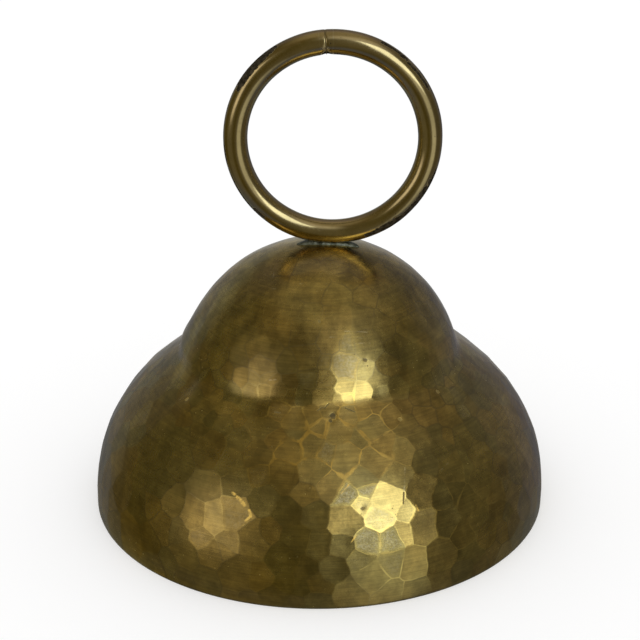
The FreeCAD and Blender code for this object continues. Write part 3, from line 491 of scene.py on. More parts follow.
# ------------------------------------------------------------------ ring handle
def ring_mesh():
    gap = math.radians(0.28)
    nu, nv = 700, 60
    us = np.linspace(gap, 2 * math.pi - gap, nu)
    vs = np.arange(nv) * 2 * math.pi / nv
    # slight flats and swelling left by bending and dressing the rod
    U, Vv = np.meshgrid(us, vs, indexing="ij")
    ang = SEAM + U
    cx = np.cos(ang)
    cz = np.sin(ang)
    ca, sa = np.cos(Vv), np.sin(Vv)           # v = 0 points away from the ring's centre
    base = np.stack([RING_MAJOR * cx, 0 * cx, RING_MAJOR * cz], -1)
    flat = base.reshape(-1, 3)
    rad = RING_ROD - 0.05 + 0.05 * noise_a(flat, 17.0, 2).reshape(U.shape)
    d = np.stack([cx * ca, sa, cz * ca], -1)
    p = base + d * rad[..., None]
    q = p.reshape(-1, 3)
    fine = 0.008 * noise_b(q, 3.2, 2) + 0.035 * noise_c(q, 9.0, 1)
    # notch on the inside of the seam and a shallow groove right round it
    dist = np.minimum(U, 2 * math.pi - U).reshape(-1) * RING_MAJOR
    inner = (0.5 - 0.5 * np.cos(Vv)).reshape(-1) ** 2
    groove = -(0.03 + 0.40 * inner) * np.exp(-(dist / (0.40 + 1.6 * inner)) ** 2)
    # chips along the outer edge, low on the right
    chips = np.zeros(len(q))
    a_deg = np.degrees((SEAM + U.reshape(-1)) % (2 * math.pi))
    v_deg = np.degrees((Vv.reshape(-1) + math.pi) % (2 * math.pi) - math.pi)
    for ac, vc, wa, wv, depth in ((316, -38, 1.6, 14, 0.55), (312, -52, 1.1, 9, 0.35), (308, -60, 1.4, 9, 0.4),
                                  (319, -30, 1.2, 10, 0.3), (304, -64, 1.0, 7, 0.25), (196, -20, 0.8, 8, 0.25)):
        chips -= depth * np.exp(-((a_deg - ac) / wa) ** 2 - ((v_deg - vc) / wv) ** 2)
    q = q + d.reshape(-1, 3) * (fine + groove + chips)[:, None]

    def blob(ac, vc, wa, wv):
        da = (a_deg - ac + 180) % 360 - 180
        dv = (v_deg - vc + 180) % 360 - 180
        return np.exp(-(da / wa) ** 4 - (dv / wv) ** 4)

    ragged = 0.35 * noise_c(q, 5.0, 3) + 0.25 * noise_a(q, 1.8, 2)
    tarnish = np.zeros(len(q))
    for ac, vc, wa, wv in ((133, -22, 17, 29), (144, -38, 9, 17), (38, -36, 11, 11), (56, -24, 10, 13), (30, 0, 14, 18),
                           (187, -16, 7, 18), (212, -28, 17, 11), (225, -48, 4, 9), (316, -40, 19, 27), (301, -54, 12, 19),
                           (334, -30, 11, 13), (312, 16, 20, 26), (20, 24, 14, 26), (91, -162, 9, 24), (90, 150, 12, 40),
                           # the last three darken the back and the underside of the rod
                           (250, 60, 40, 30), (160, 70, 30, 26), (270, 14, 30, 26)):
        tarnish = np.maximum(tarnish, blob(ac, vc, wa, wv))
    tarnish = smoothstep(0.40, 0.54, tarnish + ragged * 1.2)
    tarnish = np.maximum(tarnish, smoothstep(0.08, 0.2, -chips))
    tarnish = np.maximum(tarnish, 0.9 * inner * np.exp(-(dist / 2.6) ** 2))
    # painted shade: a dark band along the outer and the inner side of the ring, where the rod turns away from the
    # camera
    side = np.degrees(np.arctan(0.42 * np.sin(np.radians(a_deg))))
    silhouette_shade = np.zeros(len(q))
    for at in (0.0, 180.0):
        dv = (v_deg - side - at + 180) % 360 - 180
        silhouette_shade = np.maximum(silhouette_shade, np.exp(-(dv / 24.0) ** 2))
    silhouette_shade *= np.clip(0.75 + 0.5 * noise_a(q, 7.0, 2), 0, 1)
    q = q + np.array([RING_X, 0, RING_Z])

    faces = []
    for i in range(nu - 1):
        for j in range(nv):
            k = (j + 1) % nv
            faces.append((i * nv + j, i * nv + k, (i + 1) * nv + k, (i + 1) * nv + j))
    # the two sawn ends, closed with a rounded edge
    verts = [q]
    tar = [tarnish]
    silhouette_shade_parts = [silhouette_shade]
    n0 = len(q)
    for row, sign in ((0, 1), (nu - 1, -1)):
        ids = np.arange(row * nv, row * nv + nv)
        ringpts = q[ids]
        c = ringpts.mean(0)
        u = us[row]
        tangent = np.array([-math.sin(SEAM + u), 0, math.cos(SEAM + u)]) * (-sign)
        small = c + (ringpts - c) * 0.93 + tangent * 0.17
        verts.append(small)
        tar.append(np.full(nv, 0.8))
        silhouette_shade_parts.append(np.full(nv + 1, 0.5))
        verts.append((c + tangent * 0.17)[None, :])
        tar.append(np.array([0.8]))
        a0 = n0
        for j in range(nv):
            k = (j + 1) % nv
            if sign > 0:
                faces.append((ids[k], ids[j], a0 + j, a0 + k))
                faces.append((a0 + k, a0 + j, a0 + nv))
            else:
                faces.append((ids[j], ids[k], a0 + k, a0 + j))
                faces.append((a0 + j, a0 + k, a0 + nv))
        n0 += nv + 1
    verts = np.concatenate(verts)
    tar = np.concatenate(tar)
    silhouette_shade_parts = np.concatenate(silhouette_shade_parts)
    along = np.arctan2(verts[:, 2] - RING_Z, verts[:, 0] - RING_X)
    ob = new_mesh("ring_rod", verts, faces, {"tarnish": tar, "silhouette_shade": silhouette_shade_parts, "along": along})
    return ob


# ------------------------------------------------------------------ solder under the ring
def solder_bead():
    """An irregular bead that fills the narrow space between the crown and the ring standing on it."""
    top_x = LEAN * TOP
    x0 = top_x + (RING_X - top_x) * RCR / (RCR + RING_MAJOR + RING_ROD)      # where ring and crown come nearest
    nr, na = 26, 220
    verts, attrs, faces = [], [], []

    def crown(x, y):
        return ZCR + np.sqrt(RCR ** 2 - (x - top_x) ** 2 - y ** 2)

    def under(x, y):
        s = RING_MAJOR + np.sqrt(np.clip(RING_ROD ** 2 - y ** 2, 0, None))
        return np.where(np.abs(y) < RING_ROD - 0.02, RING_Z - np.sqrt(s ** 2 - (x - RING_X) ** 2), 1e3)
    th = np.arange(na) * 2 * math.pi / na
    edge = np.stack([13.0 * np.cos(th), 5.0 * np.sin(th), 0 * th], 1)
    wob = noise_c(edge + 5.0, 2.6, 3)
    wide = noise_a(edge + 9.0, 6.0, 2)
    a = 13.6 + 1.1 * wob
    b = 2.9 + 0.5 * wide + 0.5 * wob
    rows = []
    for side in (0, 1):                          # 0 top, 1 bottom
        for i in range(nr):
            rho = math.sin(0.5 * math.pi * (i + 1) / nr)
            x = x0 + a * rho * np.cos(th)
            y = b * rho * np.sin(th)
            base = crown(x, y)
            if side == 0:
                lump = noise_b(np.stack([x, y, 0 * x], 1), 2.4, 3)
                h = 1.9 * math.sqrt(max(0.0, 1 - rho ** 2)) * (1 + 0.35 * lump) + 0.04
                room = under(x, y) - base - 0.015
                z = base + np.minimum(h, np.clip(room, 0.01, None))
            else:
                z = base - 0.25
            if side == 1 and i == nr - 1:
                z = base - 0.10
            verts.append(np.stack([x, y, z], 1))
            rows.append(np.arange(len(rows) * na, (len(rows) + 1) * na))
    pts = np.concatenate(verts)
    n = len(pts)
    cx = np.array([[x0, 0, float(crown(x0, 0)) + 0.03], [x0, 0, float(crown(x0, 0)) - 0.25]])
    pts = np.concatenate([pts, cx])
    top, low = rows[:nr], rows[nr:]
    for k in range(na):
        m = (k + 1) % na
        faces.append((n, top[0][k], top[0][m]))
        faces.append((n + 1, low[0][m], low[0][k]))
        for i in range(nr - 1):
            faces.append((top[i][k], top[i + 1][k], top[i + 1][m], top[i][m]))
            faces.append((low[i][m], low[i + 1][m], low[i + 1][k], low[i][k]))
        faces.append((top[-1][k], low[-1][k], low[-1][m], top[-1][m]))
    return new_mesh("solder_bead", pts, faces)


# ------------------------------------------------------------------ node helpers
class Tree:
    def __init__(self, name):
        self.mat = bpy.data.materials.new(name)
        self.mat.use_nodes = True
        self.nt = self.mat.node_tree
        self.nt.nodes.clear()
        self.out = self.nt.nodes.new("ShaderNodeOutputMaterial")
        self.bsdf = self.nt.nodes.new("ShaderNodeBsdfPrincipled")
        self.nt.links.new(self.bsdf.outputs[0], self.out.inputs[0])
        tc = self.nt.nodes.new("ShaderNodeTexCoord")
        self.pos = tc.outputs["Object"]
        self.place = self.pos                    # where marks are looked up

    def link(self, a, b):
        self.nt.links.new(a, b)

    def put(self, socket, value):
        if isinstance(value, bpy.types.NodeSocket):
            self.link(value, socket)
        else:
            socket.default_value = value

    def attr(self, name):
        n = self.nt.nodes.new("ShaderNodeAttribute")
        n.attribute_name = name
        return n.outputs["Fac"]

    def vector(self, name):
        n = self.nt.nodes.new("ShaderNodeAttribute")
        n.attribute_name = name
        return n.outputs["Vector"]

    def vmath(self, op, a, b=None, scale=None):
        n = self.nt.nodes.new("ShaderNodeVectorMath")
        n.operation = op
        self.put(n.inputs[0], a)
        if b is not None:
            self.put(n.inputs[1], b)
        if scale is not None:
            self.put(n.inputs[3], scale)
        return n.outputs["Value"] if op in ("LENGTH", "DOT_PRODUCT", "DISTANCE") else n.outputs[0]

    def vpick(self, fac, a, b):
        n = self.nt.nodes.new("ShaderNodeMix")
        n.data_type = "VECTOR"
        self.put(n.inputs[0], fac)
        self.put(n.inputs[4], a)
        self.put(n.inputs[5], b)
        return n.outputs[1]

    def pick(self, fac, a, b):
        n = self.nt.nodes.new("ShaderNodeMix")
        n.data_type = "FLOAT"
        self.put(n.inputs[0], fac)
        self.put(n.inputs[2], a)
        self.put(n.inputs[3], b)
        return n.outputs[0]

    def math(self, op, a, b=0.0, c=0.0, clamp=False):
        n = self.nt.nodes.new("ShaderNodeMath")
        n.operation = op
        n.use_clamp = clamp
        self.put(n.inputs[0], a)
        self.put(n.inputs[1], b)
        if len(n.inputs) > 2:
            self.put(n.inputs[2], c)
        return n.outputs[0]

    def add(self, a, b, clamp=False):
        return self.math("ADD", a, b, clamp=clamp)

    def mul(self, a, b, clamp=False):
        return self.math("MULTIPLY", a, b, clamp=clamp)

    def sub(self, a, b, clamp=False):
        return self.math("SUBTRACT", a, b, clamp=clamp)

    def remap(self, v, a, b, lo=0.0, hi=1.0, kind="SMOOTHSTEP"):
        n = self.nt.nodes.new("ShaderNodeMapRange")
        n.interpolation_type = kind
        self.put(n.inputs["Value"], v)
        n.inputs["From Min"].default_value = a
        n.inputs["From Max"].default_value = b
        n.inputs["To Min"].default_value = lo
        n.inputs["To Max"].default_value = hi
        return n.outputs[0]

    def scaled(self, sx, sy, sz):
        n = self.nt.nodes.new("ShaderNodeMapping")
        self.link(self.pos, n.inputs["Vector"])
        n.inputs["Scale"].default_value = (sx, sy, sz)
        return n.outputs[0]

    def noise(self, mm, detail=2.0, rough=0.5, vec=None, distortion=0.0):
        """Noise whose features are about this many millimetres wide."""
        n = self.nt.nodes.new("ShaderNodeTexNoise")
        n.inputs["Scale"].default_value = 1000.0 / mm
        n.inputs["Detail"].default_value = detail
        n.inputs["Roughness"].default_value = rough
        n.inputs["Distortion"].default_value = distortion
        self.link(vec if vec is not None else self.pos, n.inputs["Vector"])
        return n.outputs["Fac"]

    def voronoi(self, mm, feature="F1", vec=None, rand=1.0):
        n = self.nt.nodes.new("ShaderNodeTexVoronoi")
        n.feature = feature
        n.inputs["Scale"].default_value = 1000.0 / mm
        n.inputs["Randomness"].default_value = rand
        self.link(vec if vec is not None else self.pos, n.inputs["Vector"])
        return n.outputs["Distance"]

    def mix(self, fac, a, b):
        n = self.nt.nodes.new("ShaderNodeMix")
        n.data_type = "RGBA"
        n.clamp_factor = True
        self.put(n.inputs[0], fac)
        self.put(n.inputs[6], a)
        self.put(n.inputs[7], b)
        return n.outputs[2]

    def gain(self, colour, factor):
        """Colour times a number."""
        n = self.nt.nodes.new("ShaderNodeVectorMath")
        n.operation = "SCALE"
        self.put(n.inputs[0], colour)
        self.put(n.inputs[3], factor)
        return n.outputs[0]

    def bump(self, height, strength, distance_mm, normal=None):
        n = self.nt.nodes.new("ShaderNodeBump")
        n.inputs["Strength"].default_value = strength
        n.inputs["Distance"].default_value = distance_mm * MM
        self.put(n.inputs["Height"], height)
        if normal is not None:
            self.link(normal, n.inputs["Normal"])
        return n.outputs[0]

    def scratch(self, a_mm, b_mm, width_mm):
        """1 on a thin straight line from a to b, 0 away from it."""
        nt = self.nt
        va = Vector(a_mm) * MM
        vb = Vector(b_mm) * MM
        ab = vb - va
        s1 = nt.nodes.new("ShaderNodeVectorMath"); s1.operation = "SUBTRACT"
        self.link(self.place, s1.inputs[0]); s1.inputs[1].default_value = va
        dt = nt.nodes.new("ShaderNodeVectorMath"); dt.operation = "DOT_PRODUCT"
        self.link(s1.outputs[0], dt.inputs[0]); dt.inputs[1].default_value = ab / ab.length_squared
        t = self.math("MULTIPLY", dt.outputs["Value"], 1.0, clamp=True)
        sc = nt.nodes.new("ShaderNodeVectorMath"); sc.operation = "SCALE"
        sc.inputs[0].default_value = ab
        self.link(t, sc.inputs[3])
        s2 = nt.nodes.new("ShaderNodeVectorMath"); s2.operation = "SUBTRACT"
        self.link(s1.outputs[0], s2.inputs[0]); self.link(sc.outputs[0], s2.inputs[1])
        ln = nt.nodes.new("ShaderNodeVectorMath"); ln.operation = "LENGTH"
        self.link(s2.outputs[0], ln.inputs[0])
        return self.remap(ln.outputs["Value"], width_mm * MM, width_mm * 0.35 * MM)

    def spot(self, centre_mm, radius_mm):
        """1 inside a small ragged ball round a point, 0 away from it."""
        n = self.nt.nodes.new("ShaderNodeVectorMath")
        n.operation = "DISTANCE"
        self.link(self.place, n.inputs[0])
        n.inputs[1].default_value = Vector(centre_mm) * MM
        d = self.add(n.outputs["Value"], self.mul(self.sub(self.noise(1.3, 3, 0.6), 0.5), radius_mm * 1.2 * MM))
        return self.remap(d, radius_mm * 1.15 * MM, radius_mm * 0.65 * MM)

    def plane_line(self, point_mm, normal, width_mm):
        """1 on a thin line where a plane cuts the piece near this point."""
        nt = self.nt
        s1 = nt.nodes.new("ShaderNodeVectorMath"); s1.operation = "SUBTRACT"
        self.link(self.pos, s1.inputs[0]); s1.inputs[1].default_value = Vector(point_mm) * MM
        dt = nt.nodes.new("ShaderNodeVectorMath"); dt.operation = "DOT_PRODUCT"
        self.link(s1.outputs[0], dt.inputs[0]); dt.inputs[1].default_value = normal
        near = nt.nodes.new("ShaderNodeVectorMath"); near.operation = "LENGTH"
        self.link(s1.outputs[0], near.inputs[0])
        on = self.remap(self.math("ABSOLUTE", dt.outputs["Value"]), width_mm * MM, width_mm * 0.3 * MM)
        return self.mul(on, self.remap(near.outputs["Value"], 9.0 * MM, 6.0 * MM))


def rgb(r, g, b):
    return (r, g, b, 1.0)


# Fine marks on the outer face, end to end, with their width, mm.
DARK_LINES = [((-0.4, -62.8, 67.5), (1.4, -61.8, 68.6), 0.45), ((1.4, -61.8, 68.6), (2.4, -62.0, 68.2), 0.4),
              ((2.4, -62.0, 68.2), (3.9, -60.4, 69.7), 0.45), ((10.4, -61.2, 68.2), (12.2, -61.6, 67.6), 0.4),
              ((12.2, -61.6, 67.6), (14.3, -62.0, 67.0), 0.4), ((33.2, -82.3, 42.2), (33.0, -84.7, 38.7), 0.45),
              ((-17.3, -61.8, 66.3), (-15.4, -62.4, 66.2), 0.4)]
BRIGHT_LINES = [((33.8, -76.1, 49.6), (33.3, -82.1, 42.5), 0.32), ((48.5, -71.3, 46.0), (49.4, -70.4, 46.3), 0.35),
                ((50.8, -68.9, 46.8), (51.6, -67.8, 47.3), 0.35), ((10.6, -45.7, 95.4), (19.6, -44.0, 94.2), 0.35),
                ((13.4, -48.4, 91.3), (20.8, -46.6, 90.5), 0.3), ((4.6, -47.9, 93.8), (17.5, -46.2, 92.6), 0.28),
                ((-19.6, -53.7, 77.6), (-16.9, -54.3, 77.8), 0.4), ((-70.2, -15.5, 60.0), (-69.0, -16.2, 60.5), 0.4),
                ((-7.6, -28.4, 109.2), (-6.6, -28.7, 109.1), 0.5), ((-19.4, -27.3, 106.5), (-17.5, -27.9, 106.8), 0.35),
                ((-18.4, -18.9, 110.4), (-18.7, -21.5, 109.2), 0.35)]
# Short crests rubbed to clean metal, with a painted highlight along them.
RUBBED_CRESTS_PAINTED_HIGHLIGHT = [((-33.9, -81.8, 42.1), (-31.6, -83.7, 40.6), 0.8), ((-31.6, -83.7, 40.6), (-29.2, -85.9, 38.9), 1.1),
              ((-27.4, -87.4, 37.3), (-26.7, -88.4, 35.4), 0.9), ((-26.7, -88.4, 35.4), (-28.8, -88.7, 33.4), 0.7),
              ((-31.6, -90.7, 22.6), (-33.4, -91.3, 20.2), 0.45), ((13.4, -59.4, 74.6), (14.2, -57.8, 76.6), 0.5),
              ((9.6, -60.2, 71.8), (12.0, -59.6, 72.6), 0.6), ((12.0, -59.6, 72.6), (13.4, -59.4, 74.6), 0.5),
              ((7.9, -64.5, 66.9), (9.4, -61.8, 69.2), 0.5), ((37.9, -83.7, 37.2), (39.0, -84.4, 35.2), 0.55),
              ((12.5, -95.3, 27.6), (14.5, -93.5, 30.0), 0.45), ((14.5, -93.5, 30.0), (19.5, -91.9, 30.8), 0.4),
              ((8.6, -87.0, 44.5), (11.6, -84.6, 47.0), 0.5), ((22.6, -92.0, 30.4), (24.2, -93.6, 25.0), 0.35)]
RING_PITS = [((RING_X - 14.3, -4.2, RING_Z + 38.3), 0.55), ((RING_X - 1.0, -4.9, RING_Z + 40.6), 0.35),
             ((RING_X + 26.0, -4.6, RING_Z - 31.0), 0.5), ((RING_X + 20.5, -4.7, RING_Z - 34.5), 0.45)]


# ------------------------------------------------------------------ materials
def shell_material():
    t = Tree("aged_hammered_brass")
    t.place = t.vector("rest_at")
    inside, crisp, gold, dull = t.attr("inside"), t.attr("crisp"), t.attr("gold"), t.attr("dull")
    amount = t.attr("amount")
    # which blow is deepest here, which comes next, and how far it is to the crest between them, mm
    low, g_low, look = t.attr("height0"), t.vector("slope0"), t.vector("look0")
    nxt, g_nxt = 9.0, (0.0, 0.0, 0.0)
    for k in range(1, CLASSES):
        h, g, q = t.attr("height%d" % k), t.vector("slope%d" % k), t.vector("look%d" % k)
        first = t.math("LESS_THAN", h, low)
        second = t.math("LESS_THAN", h, nxt)
        nxt_mid, g_mid = t.pick(second, nxt, h), t.vpick(second, g_nxt, g)
        nxt, g_nxt = t.pick(first, nxt_mid, low), t.vpick(first, g_mid, g_low)
        low, g_low, look = t.pick(first, low, h), t.vpick(first, g_low, g), t.vpick(first, look, q)
    across = t.vmath("SUBTRACT", g_nxt, g_low)
    steep = t.math("MAXIMUM", t.vmath("LENGTH", across), 0.004)
    dist = t.math("DIVIDE", t.sub(nxt, low), steep)
    parts = t.nt.nodes.new("ShaderNodeSeparateXYZ")
    t.link(look, parts.inputs[0])
    cell, tint, grainy = parts.outputs
    worn = t.noise(11, 3, 0.6)
    width = t.add(t.remap(worn, 0.35, 0.65, 0.22, 0.62), t.mul(gold, t.remap(worn, 0.40, 0.66, 0.0, 0.85)))
    ridge = t.remap(t.math("DIVIDE", dist, width), 1.0, 0.25)
    ridge = t.mul(ridge, t.add(t.add(0.16, t.mul(crisp, 0.8)), t.mul(gold, 0.75), clamp=True))
    centre = t.remap(dist, 0.5, 1.6)
    # the normal: the plain surface tilted by the blow, and rounded over at the crest
    roundness = t.remap(dist, 0.42, 0.0, 0.0, 0.5, "LINEAR")
    tilt = t.vmath("ADD", g_low, t.vmath("SCALE", across, scale=roundness))
    bent = t.vmath("SUBTRACT", t.vector("plain_normal"), t.vmath("SCALE", tilt, scale=amount))
    turn = t.nt.nodes.new("ShaderNodeVectorTransform")
    turn.vector_type = "NORMAL"
    turn.convert_from = "OBJECT"
    turn.convert_to = "WORLD"
    t.link(t.vmath("NORMALIZE", bent), turn.inputs[0])
    facing = t.vmath("NORMALIZE", turn.outputs[0])
    large = t.noise(46, 3, 0.55)
    medium = t.noise(13, 4, 0.6)
    small = t.noise(3.0, 5, 0.65)
    speck = t.noise(0.8, 4, 0.75)
    smoke = t.noise(24, 4, 0.62, distortion=0.4)
    grain = t.noise(0.9, 3, 0.6)
    brushed = t.noise(1.0, 3, 0.6, vec=t.scaled(0.05, 0.05, 1.9))

    height = t.nt.nodes.new("ShaderNodeSeparateXYZ")
    t.link(t.place, height.inputs[0])
    even = t.remap(height.outputs[2], 0.078, 0.092)     # the planished crown shows its blows less
    cell = t.pick(even, cell, t.add(0.36, t.mul(cell, 0.22)))
    tint = t.pick(even, tint, t.add(0.40, t.mul(tint, 0.2)))
    # two patinas, a browner and a greener one, that change from blow to blow
    lean = t.add(t.mul(t.noise(34, 3, 0.6), 0.65), t.mul(tint, 0.35))
    colour = t.mix(t.remap(lean, 0.34, 0.66), rgb(0.655, 0.448, 0.108), rgb(0.58, 0.445, 0.125))
    thick = t.add(t.mul(large, 0.6), t.mul(medium, 0.4))
    colour = t.gain(colour, t.remap(thick, 0.36, 0.64, 1.14, 0.80))
    colour = t.gain(colour, t.remap(smoke, 0.36, 0.62, 0.80, 1.16))
    colour = t.gain(colour, t.remap(dull, 0.0, 1.0, 1.0, 0.62, "LINEAR"))
    colour = t.gain(colour, t.remap(cell, 0.0, 1.0, 0.80, 1.20, "LINEAR"))
    rubbed = t.mul(t.remap(cell, 0.60, 0.95), crisp)
    colour = t.mix(t.mul(rubbed, 0.55), colour, rgb(0.98, 0.74, 0.22))
    colour = t.gain(colour, t.remap(brushed, 0.3, 0.7, 0.88, 1.12))
    colour = t.gain(colour, t.remap(t.noise(5.5, 4, 0.65, distortion=0.5), 0.34, 0.66, 0.87, 1.11))
    smear = t.noise(9, 3, 0.6, vec=t.scaled(1.0, 1.0, 0.22))
    colour = t.gain(colour, t.pick(even, 1.0, t.remap(smear, 0.34, 0.64, 0.80, 1.18)))
    # dull granular oxide left in the middle of some blows
    granular = t.mul(t.mul(centre, t.remap(speck, 0.34, 0.60, 0.25, 1.0)), grainy)
    granular = t.mul(granular, t.remap(medium, 0.36, 0.58, 0.55, 1.0))
    colour = t.mix(t.mul(granular, 0.8), colour, t.mix(t.remap(grain, 0.38, 0.62), rgb(0.30, 0.235, 0.10), rgb(0.62, 0.53, 0.30)))
    # the crests between blows are rubbed clean, golden at the front and redder round the neck
    crest = t.mix(gold, rgb(0.92, 0.70, 0.20), rgb(1.0, 0.66, 0.13))
    broken = t.remap(t.noise(7.5, 3, 0.6), 0.40, 0.58, 0.12, 1.0)
    colour = t.mix(t.mul(ridge, broken), colour, crest)
    # while others carry a thin dark line along the crest
    line = t.mul(t.mul(t.remap(dist, 0.55, 0.15), t.sub(1.0, crisp)), t.remap(t.noise(21, 2, 0.5), 0.47, 0.56))
    colour = t.mix(t.mul(line, 0.45), colour, rgb(0.24, 0.18, 0.07))
    # red-brown spots
    spots = t.remap(t.noise(6.5, 4, 0.7, distortion=0.6), 0.67, 0.75)
    colour = t.mix(t.mul(spots, 0.45), colour, rgb(0.40, 0.19, 0.06))
    # tiny dark pits
    pits = t.remap(t.voronoi(2.6), 0.10, 0.04)
    pits = t.mul(pits, t.remap(t.noise(9, 2, 0.5), 0.55, 0.63))
    for mark, rad, deep in PITS:
        pits = t.math("MAXIMUM", pits, t.mul(t.spot(mark, rad * 0.95), 0.9 if deep > 0.3 else 0.65))
    for a, b, w in DARK_LINES:
        pits = t.math("MAXIMUM", pits, t.mul(t.scratch(a, b, w), 0.8))
    colour = t.mix(t.mul(pits, 0.95), colour, rgb(0.018, 0.018, 0.016))
    bright = None
    for a, b, w in BRIGHT_LINES:
        mark = t.scratch(a, b, w)
        bright = mark if bright is None else t.math("MAXIMUM", bright, mark)
    bright = t.mul(bright, t.remap(small, 0.40, 0.55))
    colour = t.mix(t.mul(bright, 0.42), colour, rgb(0.95, 0.80, 0.42))
    # painted highlight: gold lines along a few rubbed crests
    edge = None
    for a, b, w in RUBBED_CRESTS_PAINTED_HIGHLIGHT:
        mark = t.scratch(a, b, w)
        edge = mark if edge is None else t.math("MAXIMUM", edge, mark)
    edge = t.mul(edge, t.remap(t.noise(1.6, 3, 0.6), 0.36, 0.56, 0.25, 1.0))
    colour = t.mix(edge, colour, rgb(0.86, 0.56, 0.11))
    # inside: unpolished, browner and duller
    inner = t.mix(t.remap(thick, 0.4, 0.62), rgb(0.42, 0.29, 0.12), rgb(0.22, 0.14, 0.065))
    inner = t.gain(inner, t.remap(cell, 0.0, 1.0, 0.85, 1.15, "LINEAR"))
    colour = t.mix(inside, colour, inner)
    t.put(t.bsdf.inputs["Base Color"], colour)
    less = t.add(t.mul(pits, 0.95), t.mul(inside, 0.1))
    # the painted crest highlight is made partly non-metallic
    less = t.math("MAXIMUM", less, t.mul(edge, 0.62))
    t.put(t.bsdf.inputs["Metallic"], t.sub(1.0, less, clamp=True))

    rough = t.add(0.205, t.mul(t.remap(small, 0.35, 0.7), 0.06))
    rough = t.add(rough, t.mul(granular, 0.14))
    rough = t.add(rough, t.mul(t.remap(large, 0.4, 0.7), 0.05))
    rough = t.sub(rough, t.mul(ridge, 0.05))
    rough = t.sub(rough, t.mul(crisp, 0.035))
    rough = t.add(rough, t.mul(pits, 0.25))
    rough = t.add(rough, t.mul(dull, 0.09))
    rough = t.add(rough, t.mul(inside, 0.18))
    t.put(t.bsdf.inputs["Roughness"], rough)
    t.put(t.bsdf.inputs["Specular IOR Level"], t.sub(0.5, t.mul(pits, 0.48)))
    # old wax over the metal
    t.put(t.bsdf.inputs["Coat Weight"], t.mul(0.35, t.sub(1.0, pits), clamp=True))
    t.bsdf.inputs["Coat Roughness"].default_value = 0.24

    h = t.add(t.mul(grain, 0.25), t.mul(brushed, 0.45))
    h = t.add(h, t.mul(small, 0.30))
    h = t.add(h, t.mul(t.mul(granular, speck), 0.9))
    h = t.add(h, t.mul(t.noise(4.5, 3, 0.6), 1.6))
    h = t.sub(h, t.mul(pits, 2.2))
    t.link(t.bump(h, 0.24, 0.10, facing), t.bsdf.inputs["Normal"])
    return t.mat


def ring_material():
    t = Tree("satin_brass_rod")
    tar = t.attr("tarnish")
    large = t.noise(20, 3, 0.55)
    small = t.noise(2.2, 4, 0.65)
    grain = t.noise(0.7, 3, 0.6)
    colour = t.mix(t.remap(large, 0.35, 0.68), rgb(0.66, 0.51, 0.22), rgb(0.52, 0.40, 0.17))
    colour = t.mix(t.mul(t.remap(small, 0.5, 0.72), 0.35), colour, rgb(0.38, 0.285, 0.12))
    spots = t.remap(t.noise(4.5, 4, 0.7, distortion=0.5), 0.66, 0.74)
    colour = t.mix(t.mul(spots, 0.4), colour, rgb(0.42, 0.22, 0.08))
    mask = t.remap(t.add(tar, t.mul(t.sub(small, 0.5), 0.9)), 0.35, 0.60)
    # painted shade darkens the ring along its outer and inner edges
    colour = t.gain(colour, t.remap(t.attr("silhouette_shade"), 0.15, 1.0, 1.06, 0.38))
    colour = t.mix(t.mul(mask, 0.98), colour, t.mix(t.remap(t.noise(1.5, 3, 0.6), 0.42, 0.60), rgb(0.004, 0.003, 0.002), rgb(0.028, 0.022, 0.014)))
    pits = t.mul(t.remap(t.voronoi(2.1), 0.13, 0.05), t.remap(t.noise(6, 2, 0.5), 0.54, 0.62))
    for mark, rad in RING_PITS:
        pits = t.math("MAXIMUM", pits, t.spot(mark, rad))
    colour = t.mix(t.mul(pits, 0.85), colour, rgb(0.05, 0.04, 0.025))
    # faint pale lines filed across the rod beside its seam
    filed = None
    for deg in (3.4, -4.2):
        a = SEAM + math.radians(deg)
        ring_at = Vector((RING_X + RING_MAJOR * math.cos(a), 0, RING_Z + RING_MAJOR * math.sin(a)))
        across = t.plane_line(ring_at, Vector((-math.sin(a), 0, math.cos(a))), 0.30)
        filed = across if filed is None else t.math("MAXIMUM", filed, across)
    colour = t.mix(t.mul(filed, 0.35), colour, rgb(0.85, 0.72, 0.42))
    t.put(t.bsdf.inputs["Base Color"], colour)
    t.put(t.bsdf.inputs["Metallic"], t.sub(1.0, mask))
    rough = t.add(0.115, t.mul(t.remap(small, 0.35, 0.7), 0.07))
    rough = t.add(rough, t.mul(mask, 0.34))
    t.put(t.bsdf.inputs["Roughness"], rough)
    t.put(t.bsdf.inputs["Specular IOR Level"], t.sub(0.5, t.mul(mask, 0.47)))
    t.put(t.bsdf.inputs["Coat Weight"], t.mul(0.12, t.sub(1.0, mask), clamp=True))
    t.bsdf.inputs["Coat Roughness"].default_value = 0.2
    h = t.add(t.mul(grain, 0.35), t.mul(small, 0.35))
    h = t.sub(h, t.mul(pits, 1.5))
    h = t.sub(h, t.mul(mask, 0.5))
    t.link(t.bump(h, 0.26, 0.07), t.bsdf.inputs["Normal"])
    return t.mat


def plain_metal(name, base, worn, rough, spread=0.1, scale=6.0, bump=0.25, metallic=1.0, dark=None, dark_amount=0.4):
    t = Tree(name)
    large = t.noise(scale, 4, 0.6)
    small = t.noise(scale * 0.18, 4, 0.65)
    grain = t.noise(0.6, 3, 0.6)
    colour = t.mix(t.remap(large, 0.36, 0.66), rgb(*base), rgb(*worn))
    if dark is not None:
        colour = t.mix(t.mul(t.remap(small, 0.48, 0.68), dark_amount), colour, rgb(*dark))
    t.put(t.bsdf.inputs["Base Color"], colour)
    t.put(t.bsdf.inputs["Metallic"], metallic)
    t.put(t.bsdf.inputs["Roughness"], t.add(rough, t.mul(t.remap(small, 0.35, 0.7), spread)))
    t.link(t.bump(t.add(t.mul(grain, 0.4), t.mul(small, 0.8)), bump, 0.10), t.bsdf.inputs["Normal"])
    return t.mat


def assign(ob, mat):
    ob.data.materials.clear()
    ob.data.materials.append(mat)


# ------------------------------------------------------------------ build the pieces
shell = hammered_shell()
assign(shell, shell_material())
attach(shell, "bell")
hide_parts("bell_shell")

ring = ring_mesh()
assign(ring, ring_material())
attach(ring, "bell")
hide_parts("ring_handle")

